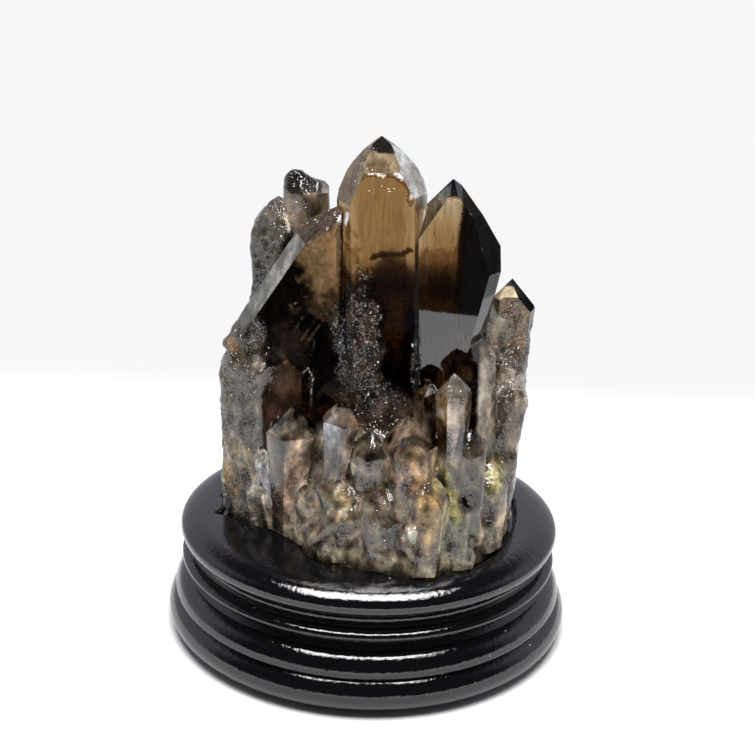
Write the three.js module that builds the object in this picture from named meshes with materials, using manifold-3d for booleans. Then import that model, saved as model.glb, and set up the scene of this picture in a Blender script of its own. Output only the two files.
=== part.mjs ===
// Smoky quartz cluster on its turned and lacquered wooden stand.
// Millimetres, +Z up. The origin is the middle of the stand's foot, on the surface it stands on.
// The front of the cluster faces -Y.

import * as THREE from "three";
import { ConvexGeometry } from "three/addons/geometries/ConvexGeometry.js";
import { mergeVertices } from "three/addons/utils/BufferGeometryUtils.js";
import Module from "manifold-3d";

// Driving dimensions of the stand
const RIM_HALF_WIDTH = 62.5; // along X, at the fullest line of the top rim
const RIM_HALF_DEPTH = 52; // along Y
const STAND_HEIGHT = 42;
const RIM_THICKNESS = 9; // the half-round edge of the top board
const FOOT_BEAD_RADIUS = 6.4;
const SEAT_DEPTH = 3.5; // the carved seat that the stone's foot sits in
const SEAT_ROOM = 1.1; // how much wider the seat is than the stone
const REST_GAP = 0.3; // between the seat's floor and the stone
const STAND_SEGMENTS = 64;

// Driving dimensions of the quartz
const CLUSTER_TOP = 168; // the tallest tip
const PYRAMID_INCLINE = 51.8; // degrees from the crystal's axis to the normal of a pyramid face
const PRISM_INCLINE = 90;
const OVERHANG_GAP = 0.4; // crystals that reach past the seat stay this far above the board
const SEED = 7;

const SEAT_FLOOR = STAND_HEIGHT - SEAT_DEPTH;
const FOOT_Z = SEAT_FLOOR + REST_GAP;

const wasm = await Module();
wasm.setup();

// A solid for joining and cutting, from any closed three.js geometry.
function solid(geometry) {
  const bare = geometry.clone();
  for (const name of Object.keys(bare.attributes)) {
    if (name !== "position") bare.deleteAttribute(name);
  }
  const merged = mergeVertices(bare, 1e-4);
  return new wasm.Manifold(
    new wasm.Mesh({
      numProp: 3,
      vertProperties: new Float32Array(merged.attributes.position.array),
      triVerts: new Uint32Array(merged.index.array),
    }),
  );
}

// The way back: a geometry from a finished solid.
function geometryOf(body) {
  const mesh = body.getMesh();
  const stride = mesh.numProp;
  const points = new Float32Array(mesh.numVert * 3);
  for (let i = 0; i < mesh.numVert; i++) {
    points.set(mesh.vertProperties.subarray(i * stride, i * stride + 3), i * 3);
  }
  const geometry = new THREE.BufferGeometry();
  geometry.setAttribute("position", new THREE.BufferAttribute(points, 3));
  geometry.setIndex(new THREE.BufferAttribute(mesh.triVerts, 1));
  geometry.computeVertexNormals();
  return geometry;
}

// A repeatable random number from 0 to 1 (Mulberry32).
function dice(seed) {
  let state = seed >>> 0;
  return () => {
    state = (state + 0x6d2b79f5) >>> 0;
    let t = Math.imul(state ^ (state >>> 15), 1 | state);
    t = (t + Math.imul(t ^ (t >>> 7), 61 | t)) ^ t;
    return ((t ^ (t >>> 14)) >>> 0) / 4294967296;
  };
}

const radians = THREE.MathUtils.degToRad;

// The corners of the space inside a set of planes: every point where three meet that no other cuts off.
function cornersInside(planes) {
  const corners = [];
  const cross = new THREE.Vector3();
  for (let i = 0; i < planes.length; i++) {
    for (let j = i + 1; j < planes.length; j++) {
      for (let k = j + 1; k < planes.length; k++) {
        const [a, b, c] = [planes[i], planes[j], planes[k]];
        cross.crossVectors(b.normal, c.normal);
        const volume = a.normal.dot(cross);
        if (Math.abs(volume) < 1e-6) continue;
        const corner = cross.clone().multiplyScalar(a.reach);
        corner.add(cross.crossVectors(c.normal, a.normal).multiplyScalar(b.reach));
        corner.add(cross.crossVectors(a.normal, b.normal).multiplyScalar(c.reach));
        corner.divideScalar(volume);
        const inside = planes.every((p) => p.normal.dot(corner) <= p.reach + 1e-5);
        if (inside && !corners.some((q) => q.distanceTo(corner) < 1e-3)) corners.push(corner);
      }
    }
  }
  return corners;
}

// One quartz crystal: six prism faces and the faces of its point, as planes about the axis from foot
// to tip. Azimuths are in degrees round the axis, 0 to the front and 90 to the right. A face is
// [azimuth, incline, reach], with reach its distance from the tip, in millimetres.
function crystal(shape) {
  const { tip, foot, radius, spin = 0, taper = [0, 0, 0, 0, 0, 0] } = shape;
  const { sides = [1, 1, 1, 1, 1, 1], lift = [], cuts = [] } = shape;
  const top = new THREE.Vector3(...tip);
  const axis = new THREE.Vector3(...tip).sub(new THREE.Vector3(...foot)).normalize();
  const front = new THREE.Vector3(0, -1, 0);
  front.addScaledVector(axis, -front.dot(axis)).normalize();
  const right = new THREE.Vector3().crossVectors(front, axis).negate();
  const faces = [];
  for (let k = 0; k < 6; k++) {
    const azimuth = spin + 60 * k;
    faces.push([azimuth, PRISM_INCLINE + taper[k], radius * sides[k]]);
    faces.push([azimuth, PYRAMID_INCLINE, lift[k] ?? 0]);
  }
  faces.push(...cuts);
  const planes = faces.map(([azimuth, incline, reach]) => {
    const a = radians(azimuth);
    const t = radians(incline);
    const normal = axis.clone().multiplyScalar(Math.cos(t));
    normal.addScaledVector(front, Math.sin(t) * Math.cos(a));
    normal.addScaledVector(right, Math.sin(t) * Math.sin(a));
    return { normal, reach: reach + normal.dot(top) };
  });
  const down = axis.clone().negate();
  planes.push({ normal: down, reach: down.dot(new THREE.Vector3(...foot)) });
  return solid(new ConvexGeometry(cornersInside(planes)));
}

// The same taper on all six prism faces.
const evenly = (degrees) => Array(6).fill(degrees);

// The crystals that give the cluster its form, placed by hand. sides are the distances of the six
// prism faces as shares of radius, from the front face round to the right. lift raises a pyramid face
// off the tip, so that it is smaller. taper draws a prism in towards its foot, in degrees.
const GREAT_CRYSTALS = [
  // the tall middle point
  {
    tip: [0, -2, CLUSTER_TOP], foot: [5.5, -7, 50], radius: 11.7,
    sides: [0.62, 1, 0.95, 1.05, 1, 1],
    lift: [0, 1.2, 1.4, 0, 1.2, 1.2],
    cuts: [[60, 66, 3.8], [-60, 69, 4.2], [90, 38, 0], [-90, 36, 0], [120, 66, 4.6], [-120, 68, 5]],
  },
  // the tall right point, leaning, with one long steep face down its right shoulder
  {
    tip: [21, -5, 156.5], foot: [14, -9, 60], radius: 11.5, spin: -6,
    sides: [0.3, 1.48, 1.6, 1.35, 1, 0.88], taper: [0, 6, 4, 0, 3, 6],
    lift: [0.4, 0.6, 1.5, 0, 0, 2],
    cuts: [[54, 70, 4.5], [-60, 67, 0.4], [112, 64, 9], [170, 62, 8]],
  },
  // the dark rough-topped point behind on the left, and its shoulder
  {
    tip: [-26, 13, 153], foot: [-21, 9, 60], radius: 6.6, spin: 30,
    sides: [1.1, 1.5, 1.1, 0.8, 0.5, 0.7],
    lift: [1.4, 4, 2, 0, 0.6, 0.4], cuts: [[92, 27, 0]],
  },
  {
    tip: [-31, 14, 144], foot: [-33.5, 9, 56], radius: 8.2, spin: 30,
    sides: [1, 0.8, 1, 1, 0.95, 0.9],
    lift: [0.5, 0.8, 0, 1, 0.6, 0], cuts: [[-90, 62, 2.6]],
  },
  // the broad leaning blade on the left
  {
    tip: [-10, -5.5, 147], foot: [-41, -2.5, 97], radius: 10.5, spin: 4,
    sides: [0.55, 1.75, 1.2, 0.9, 0.66, 0.68],
    lift: [0.8, 3, 2, 0, 2, 3],
    cuts: [[62, 60, 0], [-58, 66, 0.8], [120, 58, 1], [-120, 62, 1.5]],
  },
  // the frosted upright column at the left edge, one of its edges to the front
  {
    tip: [-35.5, -3, 109.5], foot: [-35.5, 0, 41], radius: 12, spin: 28,
    sides: [0.92, 1.1, 1, 1, 1.06, 0.86],
    lift: [2, 1, 0, 1, 0, 0], cuts: [[-86, 60, 2.4]],
  },
  // the black slab left of the middle point
  {
    tip: [-12.5, 1, 122], foot: [-14, -10, 52], radius: 8.4, spin: 8,
    sides: [0.7, 1, 1, 1, 1, 1], lift: [0.6, 0, 0, 0, 0.8, 0],
  },
  // the dark crystals between the two tall points, and under the right one
  { tip: [13, 2, 138], foot: [15, -3, 60], radius: 6.4, spin: 20, lift: [1, 0, 1, 0, 1, 0] },
  { tip: [16.5, -17, 97.5], foot: [17, -24, 52], radius: 3.6, spin: 12, lift: [0, 1, 0, 1, 0, 1] },
  { tip: [29, -5, 110], foot: [32, -13, 52], radius: 7.4, spin: -16, lift: [1, 0, 1.5, 0, 1, 0] },
  // the right shoulder: a beige faced point, and the rough lumps under it
  {
    tip: [42, 6, 122.5], foot: [40, 1, 52], radius: 6.6, spin: 8,
    sides: [0.8, 1.1, 1, 1, 1, 1],
    lift: [1.4, 0, 0, 0.6, 0, 1.8], cuts: [[20, 24, 0.9]],
  },
  { tip: [34, 4, 119], foot: [34, -2, 52], radius: 6.4, spin: 30, lift: [0, 1.2, 0, 1, 0, 2] },
  { tip: [42, 1, 104], foot: [39, -4, 50], radius: 6.2, spin: 14, lift: [0, 1.4, 0, 1, 0, 0.6] },
  // the smooth brown crystal at the right edge, and the small one under it
  {
    tip: [42.5, -3, 96], foot: [38, -10, 44], radius: 8, spin: 22, taper: evenly(3),
    sides: [0.95, 0.95, 1, 1, 1, 0.8], lift: [1, 0, 0.5, 0, 1, 0],
  },
  {
    tip: [42.5, -8, 75], foot: [42, -13, 42], radius: 5, spin: 12, taper: evenly(4),
    lift: [0, 0.5, 0, 0.5, 0, 0.5],
  },
  // milky and beige points in the front, from left to right
  {
    tip: [-34.5, -13, 70], foot: [-26, -18, 45], radius: 4, spin: 30, taper: evenly(5),
    lift: [0, 0.6, 0, 0, 0.6, 0],
  },
  {
    tip: [-24, -18, 88], foot: [-26, -16, 40], radius: 8.6, spin: 18, taper: evenly(5),
    sides: [0.85, 1, 1, 1, 1, 0.9], lift: [0, 0.8, 0, 1, 0, 0.5], cuts: [[-52, 66, 4.5]],
  },
  {
    tip: [-8.8, -22, 92], foot: [-13.5, -27, 46], radius: 6, spin: 34, taper: evenly(6),
    lift: [0, 0.5, 0, 1, 0, 0.4], cuts: [[-60, 64, 3]],
  },
  {
    tip: [-4, -32, 61], foot: [-18, -30, 46], radius: 3.6, spin: 25, taper: evenly(3),
    lift: [0, 0.4, 0, 0, 0.4, 0],
  },
  {
    tip: [0, -23, 83], foot: [0, -29, 44], radius: 5.6, spin: 22, taper: evenly(3),
    lift: [0.6, 0, 1, 0, 0.8, 0],
  },
  {
    tip: [11, -22, 88], foot: [14, -30, 44], radius: 8.2, spin: 2, taper: evenly(3),
    lift: [2, 0, 1, 0, 1, 0], cuts: [[0, 34, 1.6]],
  },
  {
    tip: [24, -21, 102], foot: [25, -27, 56], radius: 5.2, spin: 8, taper: evenly(3),
    lift: [0, 0.8, 0, 0.4, 0, 0.6],
  },
  {
    tip: [30, -22, 84], foot: [32, -26, 50], radius: 5.4, spin: 24, taper: evenly(4),
    lift: [0, 1, 0, 1, 0, 0],
  },
  // the lowest row in the front
  {
    tip: [-11, -27, 62], foot: [-9, -31, 40], radius: 5.2, spin: 14, taper: evenly(4),
    lift: [1, 0, 1, 0, 0.4, 0],
  },
  {
    tip: [3, -28, 68], foot: [3, -34, 40], radius: 6.4, spin: -8, taper: evenly(3),
    lift: [0, 1, 0, 0.6, 0, 1.4],
  },
  {
    tip: [18.5, -30, 73], foot: [17, -37, 42], radius: 6.6, spin: 8, taper: evenly(3),
    lift: [0, 0.8, 0, 0.5, 0, 0.4],
  },
  {
    tip: [12, -36, 61], foot: [18, -38, 42], radius: 3, taper: evenly(3),
    lift: [0, 0.2, 0.4, 0, 0, 0.2],
  },
  {
    tip: [26, -29, 64.5], foot: [28, -33, 41], radius: 4.4, spin: 12, taper: evenly(2),
    lift: [0, 0.3, 0, 0.5, 0, 0.4],
  },
  {
    tip: [36.5, -15, 71], foot: [37, -21, 41], radius: 7, spin: -14, taper: evenly(4),
    lift: [0, 0.5, 0, 0.5, 0, 0.5],
  },
  // the back, less tall and hidden from the front
  { tip: [4, 20, 126], foot: [4, 16, 50], radius: 9.4, spin: 8, lift: [0, 1.4, 0, 1, 0, 0.8] },
  { tip: [22, 18, 122], foot: [20, 13, 50], radius: 8.2, spin: -12, lift: [1, 0, 0.6, 0, 1.2, 0] },
  { tip: [-14, 25, 114], foot: [-11, 18, 48], radius: 8.6, spin: 22, lift: [0, 1, 0, 1.3, 0, 0.6] },
  { tip: [-36, 22, 103], foot: [-31, 15, 46], radius: 7.8, spin: 4, lift: [0, 0.8, 0, 1.2, 0, 0.5] },
  { tip: [34, 20, 98], foot: [30, 14, 46], radius: 7.6, spin: 16, lift: [1, 0, 0.8, 0, 0.4, 0] },
  { tip: [11, 32, 92], foot: [9, 24, 44], radius: 7.2, spin: -4, lift: [0, 0.9, 0, 1.1, 0, 0.6] },
];

// The stone's outline where it meets the stand, counted from the left end round the front.
const FOOT_OUTLINE = [
  [-48, 2], [-46.5, -5], [-42, -9], [-35, -13.5], [-28, -17], [-22, -22], [-19.5, -29], [-15, -33],
  [-7, -34.5], [2.5, -37.5], [12, -39.5], [19, -40], [26, -36.5], [33, -31.5], [39, -25], [43, -18],
  [46, -8], [47.5, 6], [46, 18], [40, 28], [28, 35], [11, 38], [-10, 37.5], [-28, 32], [-41, 20],
];

// The seat has the same outline with a little room. These points stand for the first two of it, and
// carve one small notch past the left end.
const SEAT_NOTCH = [[-49.5, 3], [-48, -4.5], [-50, -7.5], [-45, -8.7]];

// Rows of small crystals and broken lumps that clothe the mass: how many, at what height their
// points are, how far in from the foot's outline they stand, and their size.
const SMALL_ROWS = [
  { count: 26, tipZ: 55, inset: 0.89, lean: 2, radius: 6.4, fall: 17 },
  { count: 20, tipZ: 66, inset: 0.79, lean: 3, radius: 7, fall: 24 },
  { count: 13, tipZ: 79, inset: 0.6, lean: 4, radius: 7.6, fall: 30 },
];

// Scales an outline about the middle of the stone.
function scaled(outline, share) {
  return outline.map(([x, y]) => [x * share, y * share]);
}

// The point at a share of the way round an outline.
function along(outline, share) {
  const place = share * outline.length;
  const i = Math.floor(place) % outline.length;
  const [ax, ay] = outline[i];
  const [bx, by] = outline[(i + 1) % outline.length];
  const part = place - Math.floor(place);
  return [ax + (bx - ax) * part, ay + (by - ay) * part];
}

// A straight-sided block of an outline between two heights.
function block(outline, low, high) {
  const shape = new THREE.Shape(outline.map(([x, y]) => new THREE.Vector2(x, y)));
  const geometry = new THREE.ExtrudeGeometry(shape, { depth: high - low, bevelEnabled: false });
  geometry.translate(0, 0, low);
  return solid(geometry);
}

// The mass that the crystals grow from narrows upward: [height, share of the foot's outline].
const MASS_LEVELS = [[FOOT_Z - 1, 0.97], [50, 0.93], [62, 0.81], [72, 0.56], [84, 0.25]];

function mass() {
  const points = [];
  for (const [z, share] of MASS_LEVELS) {
    for (const [x, y] of scaled(FOOT_OUTLINE, share)) points.push(new THREE.Vector3(x, y, z));
  }
  return solid(new ConvexGeometry(points));
}

// One row of small points round the mass, each leaning out a little.
function smallRow({ count, tipZ, inset, lean, radius, fall }, roll) {
  const row = [];
  for (let i = 0; i < count; i++) {
    const [x, y] = along(FOOT_OUTLINE, (i + 0.8 * roll()) / count);
    const outward = inset + 0.06 * (roll() - 0.5);
    const size = radius * (0.75 + 0.5 * roll());
    const away = lean / Math.hypot(x, y);
    row.push({
      tip: [x * outward, y * outward, tipZ + 10 * (roll() - 0.5)],
      foot: [x * (outward - away), y * (outward - away), tipZ - fall - 5 * roll()],
      radius: size,
      spin: 60 * roll(),
      taper: evenly(2 + 4 * roll()),
      sides: Array.from({ length: 6 }, () => 0.7 + 0.5 * roll()),
      lift: Array.from({ length: 6 }, () => size * 0.2 * roll()),
      cuts: [[360 * roll(), 25 + 25 * roll(), -size * 0.2 * roll()]],
    });
  }
  return row;
}

function buildCluster() {
  const roll = dice(SEED);
  let stone = mass();
  const all = [...GREAT_CRYSTALS];
  for (const row of SMALL_ROWS) all.push(...smallRow(row, roll));
  for (const one of all) stone = stone.add(crystal(one));
  // the stone's foot is flat, and follows its outline as deep as the seat
  const above = block(scaled(FOOT_OUTLINE, 1.6), STAND_HEIGHT + OVERHANG_GAP, CLUSTER_TOP + 5);
  const below = block(FOOT_OUTLINE, FOOT_Z, STAND_HEIGHT + 1);
  return stone.intersect(above.add(below));
}

// The stand's section, as [distance out from the rim line, height], from the foot up to the top board.
function standProfile() {
  const profile = [];
  const arc = (out, z, wide, high, from, to, steps) => {
    for (let i = 0; i <= steps; i++) {
      const a = radians(from + ((to - from) * i) / steps);
      profile.push([out + wide * Math.cos(a), z + high * Math.sin(a)]);
    }
  };
  const half = RIM_THICKNESS / 2;
  profile.push([-1, 0]);
  // foot bead
  arc(-1.3, FOOT_BEAD_RADIUS + 0.3, FOOT_BEAD_RADIUS, FOOT_BEAD_RADIUS, -66, 62, 5);
  // body, full at the bottom and drawn in to the first fillet
  arc(-3, 14.4, 5.4, 6.2, 0, 78, 4);
  // fillet, hollow, fillet
  profile.push([-1.7, 21.4]);
  arc(-1.6, 24.2, -2, 2.2, -60, 60, 2);
  profile.push([-1.4, 26.9], [-1.6, 27.9]);
  // hollow under the rim
  arc(-2.8, 30.8, -2, 2.2, -55, 60, 2);
  // half-round rim, softer above than below
  arc(-half, STAND_HEIGHT - half, half, half, -62, 0, 2);
  arc(-2 * half, STAND_HEIGHT - half, 2 * half, half, 22, 90, 3);
  return profile;
}

// A round body of that section, drawn to an oval: the mouldings keep their depth all the way round.
function buildStand() {
  const profile = standProfile();
  const points = [new THREE.Vector2(0, 0)];
  for (const [out, z] of profile) points.push(new THREE.Vector2(RIM_HALF_WIDTH + out, z));
  points.push(new THREE.Vector2(0, STAND_HEIGHT));
  const geometry = new THREE.LatheGeometry(points, STAND_SEGMENTS);
  geometry.rotateX(Math.PI / 2);
  const place = geometry.attributes.position;
  for (let i = 0; i < place.count; i++) {
    const x = place.getX(i);
    const y = place.getY(i);
    const round = Math.hypot(x, y);
    if (round < 1e-6) continue;
    const outside = round - RIM_HALF_WIDTH;
    const narrow = round > RIM_HALF_WIDTH / 2 ? (RIM_HALF_DEPTH + outside) / round : 1;
    place.setY(i, y * narrow);
  }
  const body = solid(geometry);
  const seat = FOOT_OUTLINE.map(([x, y]) => {
    const room = 1 + SEAT_ROOM / Math.hypot(x, y);
    return [x * room, y * room];
  });
  seat.splice(0, 2, ...SEAT_NOTCH);
  return body.subtract(block(seat, SEAT_FLOOR, STAND_HEIGHT + 2));
}

const quartz = new THREE.MeshStandardMaterial({ color: 0x6b5038, roughness: 0.15, metalness: 0 });
const lacquer = new THREE.MeshStandardMaterial({ color: 0x0b0a0c, roughness: 0.12, metalness: 0 });

const cluster = new THREE.Mesh(geometryOf(buildCluster()), quartz);
cluster.name = "quartz_cluster";

const stand = new THREE.Mesh(geometryOf(buildStand()), lacquer);
stand.name = "wood_stand";

const part = new THREE.Group();
part.add(stand, cluster);

export default part;
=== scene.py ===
# %% [markdown]
# # A smoky quartz cluster on its black lacquered stand
# The object has two pieces: a stone whose crystals grew together, and an oval stand with a seat carved
# for it. The solids that carry the size and the places come from the frame. This lesson gives them
# their looks: fine shape in the mesh, clear and weathered quartz, and lacquer that mirrors the studio.

# %% Load the frame
import math

import bmesh
import bpy
import numpy as np
from mathutils import Matrix, Vector, geometry, noise


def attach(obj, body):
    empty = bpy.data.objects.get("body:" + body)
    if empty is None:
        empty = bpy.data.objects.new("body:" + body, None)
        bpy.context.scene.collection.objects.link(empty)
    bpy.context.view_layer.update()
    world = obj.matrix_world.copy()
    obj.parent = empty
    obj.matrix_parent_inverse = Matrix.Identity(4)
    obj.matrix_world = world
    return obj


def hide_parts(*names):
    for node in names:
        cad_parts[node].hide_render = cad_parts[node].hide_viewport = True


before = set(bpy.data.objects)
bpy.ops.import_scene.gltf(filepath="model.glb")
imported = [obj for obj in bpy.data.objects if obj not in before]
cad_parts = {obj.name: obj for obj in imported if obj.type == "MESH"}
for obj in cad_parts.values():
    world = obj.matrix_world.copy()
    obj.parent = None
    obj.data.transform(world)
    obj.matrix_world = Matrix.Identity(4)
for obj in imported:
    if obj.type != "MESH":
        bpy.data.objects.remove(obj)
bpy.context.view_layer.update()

MM = 0.001  # the frame is in metres, and the sizes below are in millimetres

# %% [markdown]
# ## The camera
# The photograph looks down on the stone from the front, turned by a hair. The lens is a little longer
# than normal, so the tall points hardly lean together. A camera can be placed by eye, but this one was
# worked out from the oval of the stand's rim and from the tips, and only its results are written here.

# %% Camera
LENS = 59.4  # millimetres, on a sensor 36 wide
SENSOR = 36
CAMERA_PLACE = Vector((1.2, -356.6, 259.8)) * MM
CAMERA_PITCH = 25.5  # degrees below level
CAMERA_ROLL = 2.0  # degrees, which turns the picture clockwise

lens = bpy.data.cameras.new("camera")
lens.lens = LENS
lens.sensor_width = SENSOR
lens.clip_start = 0.01
lens.dof.use_dof = False
camera = bpy.data.objects.new("camera", lens)
bpy.context.scene.collection.objects.link(camera)
pitch = Matrix.Rotation(math.radians(90 - CAMERA_PITCH), 4, "X")
roll = Matrix.Rotation(math.radians(CAMERA_ROLL), 4, "Z")
camera.matrix_world = Matrix.Translation(CAMERA_PLACE) @ pitch @ roll
bpy.context.scene.camera = camera
print("camera at", tuple(round(v, 4) for v in camera.location))


# %% [markdown]
# ## Helpers for materials
# A colour is written the way a paint chart gives it, as an sRGB hex value, and turned to the linear
# values that light is reckoned in. Another helper adds one node with its settings and its links. A
# pattern is thought of by its real size in millimetres, and a noise node wants how many fit in a metre.

# %% Helpers
def linear(hex_colour):
    """The linear RGB of an sRGB hex colour such as #6b5038, with full alpha."""
    channels = [int(hex_colour[i:i + 2], 16) / 255 for i in (1, 3, 5)]
    light = [c / 12.92 if c <= 0.04045 else ((c + 0.055) / 1.055) ** 2.4 for c in channels]
    return (*light, 1.0)


def scale_for(size):
    """The Scale of a noise whose features are this many millimetres wide."""
    return round(1 / (size * MM), -1)


def add(tree, kind, settings=None, inputs=None):
    """Adds a node. settings are its own properties; inputs are values or sockets by name or number."""
    node = tree.nodes.new(kind)
    for name, value in (settings or {}).items():
        setattr(node, name, value)
    for key, value in (inputs or {}).items():
        if isinstance(value, bpy.types.NodeSocket):
            tree.links.new(value, node.inputs[key])
        else:
            node.inputs[key].default_value = value
    return node


def new_material(name):
    """An empty material, its tree, and its output node."""
    material = bpy.data.materials.new(name)
    material.use_nodes = True
    material.node_tree.nodes.clear()
    return material, material.node_tree, material.node_tree.nodes.new("ShaderNodeOutputMaterial")


print("mid grey #808080 is", round(linear("#808080")[0], 3), "of white in linear light")

# %% [markdown]
# ## The studio
# Glass and lacquer look like what they mirror, so the studio is half of their finish. The object
# stands on a white sheet, with more white behind it and at its sides. The room in front and overhead
# is dim, apart from one long soft lamp nearly straight above.
#
# ### The sheet
# It is woven cotton, which scatters light and shines nowhere. A draped cloth would bring folds that
# nothing here mirrors, so it is one flat card. Near the stand it takes the lamp's light and shows a soft
# shadow. Further out and behind it gives light of its own, as even as a lit backdrop.

# %% White cotton
THREADS = 1.67  # millimetres; real threads are finer, and these are as coarse as they need to be to show
NEAR_RADIUS = 0.10  # metres, as are the next ones; inside it the sheet shows the soft shadow
FAR_RADIUS = 0.40  # beyond it the sheet is evenly white
RISE_START, RISE_END = 0.05, 0.20  # behind the stand it turns white sooner

sheet_white, tree, out = new_material("white cotton sheet")
place = add(tree, "ShaderNodeTexCoord")
away = add(tree, "ShaderNodeVectorMath", {"operation": "LENGTH"}, {0: place.outputs["Object"]})
far = add(tree, "ShaderNodeMapRange", {"interpolation_type": "SMOOTHSTEP"},
          {"Value": away.outputs["Value"], "From Min": NEAR_RADIUS, "From Max": FAR_RADIUS})
weave = add(tree, "ShaderNodeTexNoise", None,
            {"Vector": place.outputs["Object"], "Scale": scale_for(THREADS)})
cotton_tone = add(tree, "ShaderNodeMapRange", None,
                  {"Value": weave.outputs["Fac"], "To Min": 0.62, "To Max": 0.66})
cotton = add(tree, "ShaderNodeBsdfDiffuse", None, {"Color": cotton_tone.outputs[0]})
across_and_back = add(tree, "ShaderNodeSeparateXYZ", None, {0: place.outputs["Object"]})
rise = add(tree, "ShaderNodeMapRange", {"interpolation_type": "SMOOTHSTEP"},
           {"Value": across_and_back.outputs["Y"], "From Min": RISE_START, "From Max": RISE_END})
even = add(tree, "ShaderNodeMapRange", None, {"Value": rise.outputs[0], "To Min": 1.0, "To Max": 0.95})
lit = add(tree, "ShaderNodeEmission", None, {"Color": linear("#fdfdff"), "Strength": even.outputs[0]})
evenly = add(tree, "ShaderNodeMath", {"operation": "MAXIMUM"}, {0: far.outputs[0], 1: rise.outputs[0]})
sheet = add(tree, "ShaderNodeMixShader", None,
            {0: evenly.outputs[0], 1: cotton.outputs[0], 2: lit.outputs[0]})
print("threads", THREADS, "mm wide: scale", scale_for(THREADS))

# %% [markdown]
# The part of the sheet in front, and all round the stand, is brighter than the lamp alone makes it. A
# second lamp would leave its own reflection in the gloss, so the sheet itself glows a little there.

# %% Glow of the sheet
FRONT_GLOW = 1.3  # extra light from the sheet's front part
FRONT_START, FRONT_END = -0.10, -0.22  # metres
SIDE_GLOW = 0.5  # and from all round the stand
ROUND_START, ROUND_END = 0.07, 0.14  # metres from the middle

front = add(tree, "ShaderNodeMapRange", {"interpolation_type": "SMOOTHSTEP"},
            {"Value": across_and_back.outputs["Y"],
             "From Min": FRONT_START, "From Max": FRONT_END, "To Max": FRONT_GLOW})
round_about = add(tree, "ShaderNodeMapRange", {"interpolation_type": "SMOOTHSTEP"},
                  {"Value": away.outputs["Value"],
                   "From Min": ROUND_START, "From Max": ROUND_END, "To Max": SIDE_GLOW})
both = add(tree, "ShaderNodeMath", {"operation": "ADD"}, {0: front.outputs[0], 1: round_about.outputs[0]})
unlit = add(tree, "ShaderNodeMath", {"operation": "SUBTRACT"}, {0: 1.0, 1: rise.outputs[0]})
extra = add(tree, "ShaderNodeMath", {"operation": "MULTIPLY"}, {0: both.outputs[0], 1: unlit.outputs[0]})
glow = add(tree, "ShaderNodeEmission", None, {"Color": linear("#fbfcff"), "Strength": extra.outputs[0]})
bright = add(tree, "ShaderNodeAddShader", None, {0: sheet.outputs[0], 1: glow.outputs[0]})
tree.links.new(bright.outputs[0], out.inputs["Surface"])
print("white cotton sheet:", len(tree.nodes), "nodes")

# %% The sheet's card
SHEET_REACH = 4.0  # metres to each side


def flat_card(name, x0, y0, x1, y1, z):
    """A flat rectangle at one height."""
    mesh = bpy.data.meshes.new(name)
    mesh.from_pydata([(x0, y0, z), (x1, y0, z), (x1, y1, z), (x0, y1, z)], [], [(0, 1, 2, 3)])
    card = bpy.data.objects.new(name, mesh)
    bpy.context.scene.collection.objects.link(card)
    return card


floor = flat_card("floor", -SHEET_REACH, -SHEET_REACH, SHEET_REACH, SHEET_REACH, 0)
floor.data.materials.append(sheet_white)
print("sheet:", tuple(round(v, 2) for v in floor.dimensions), "metres")

# %% [markdown]
# ### The table in front
# The faces that look forward mirror the table in front. There the sheet ends, and the dim table top
# begins, which draws the line across the tall right crystal. The camera doesn't see this card.

# %% Dim table top in front
SHEET_FRONT = -0.325  # metres, where the sheet ends
TABLE_REACH = 4.0
TABLE_LIFT = 1 * MM  # above the sheet's card, so that the two don't share a plane

table_dark, tree, out = new_material("dark table top")
dull = add(tree, "ShaderNodeBsdfDiffuse", None, {"Color": linear("#202022")})
tree.links.new(dull.outputs[0], out.inputs["Surface"])
table = flat_card("table_front", -TABLE_REACH, -TABLE_REACH, TABLE_REACH, SHEET_FRONT, TABLE_LIFT)
table.data.materials.append(table_dark)
table.visible_camera = False
table.visible_diffuse = False
table.visible_shadow = False
print("dark table top from", SHEET_FRONT, "m forward")

# %% [markdown]
# ### The lamp
# The board and the mirroring facets show one long soft highlight from above. A glowing card would give
# the same picture. An area lamp is chosen because the renderer aims at it, so it leaves less noise.

# %% Lamp
LAMP_SIZE = (0.50, 0.32)  # metres
LAMP_PLACE = (0, -0.10, 0.70)
LAMP_WATTS = 12.0

lamp_data = bpy.data.lights.new("overhead_lamp", "AREA")
lamp_data.shape = "RECTANGLE"
lamp_data.size, lamp_data.size_y = LAMP_SIZE
lamp_data.energy = LAMP_WATTS
lamp = bpy.data.objects.new("overhead_lamp", lamp_data)
lamp.location = LAMP_PLACE
bpy.context.scene.collection.objects.link(lamp)
print("lamp:", LAMP_WATTS, "watts,", LAMP_PLACE[2], "m above the sheet")

# %% [markdown]
# ### The room
# The room itself is the world. Its light depends on the direction alone: white behind and low,
# dim in front and above. The camera sees one even pale tone instead, so that every view has the same
# background.

# %% Room
ROOM_WHITE = 1.0
ROOM_DIM = 0.07
BACKGROUND = 0.95

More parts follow.
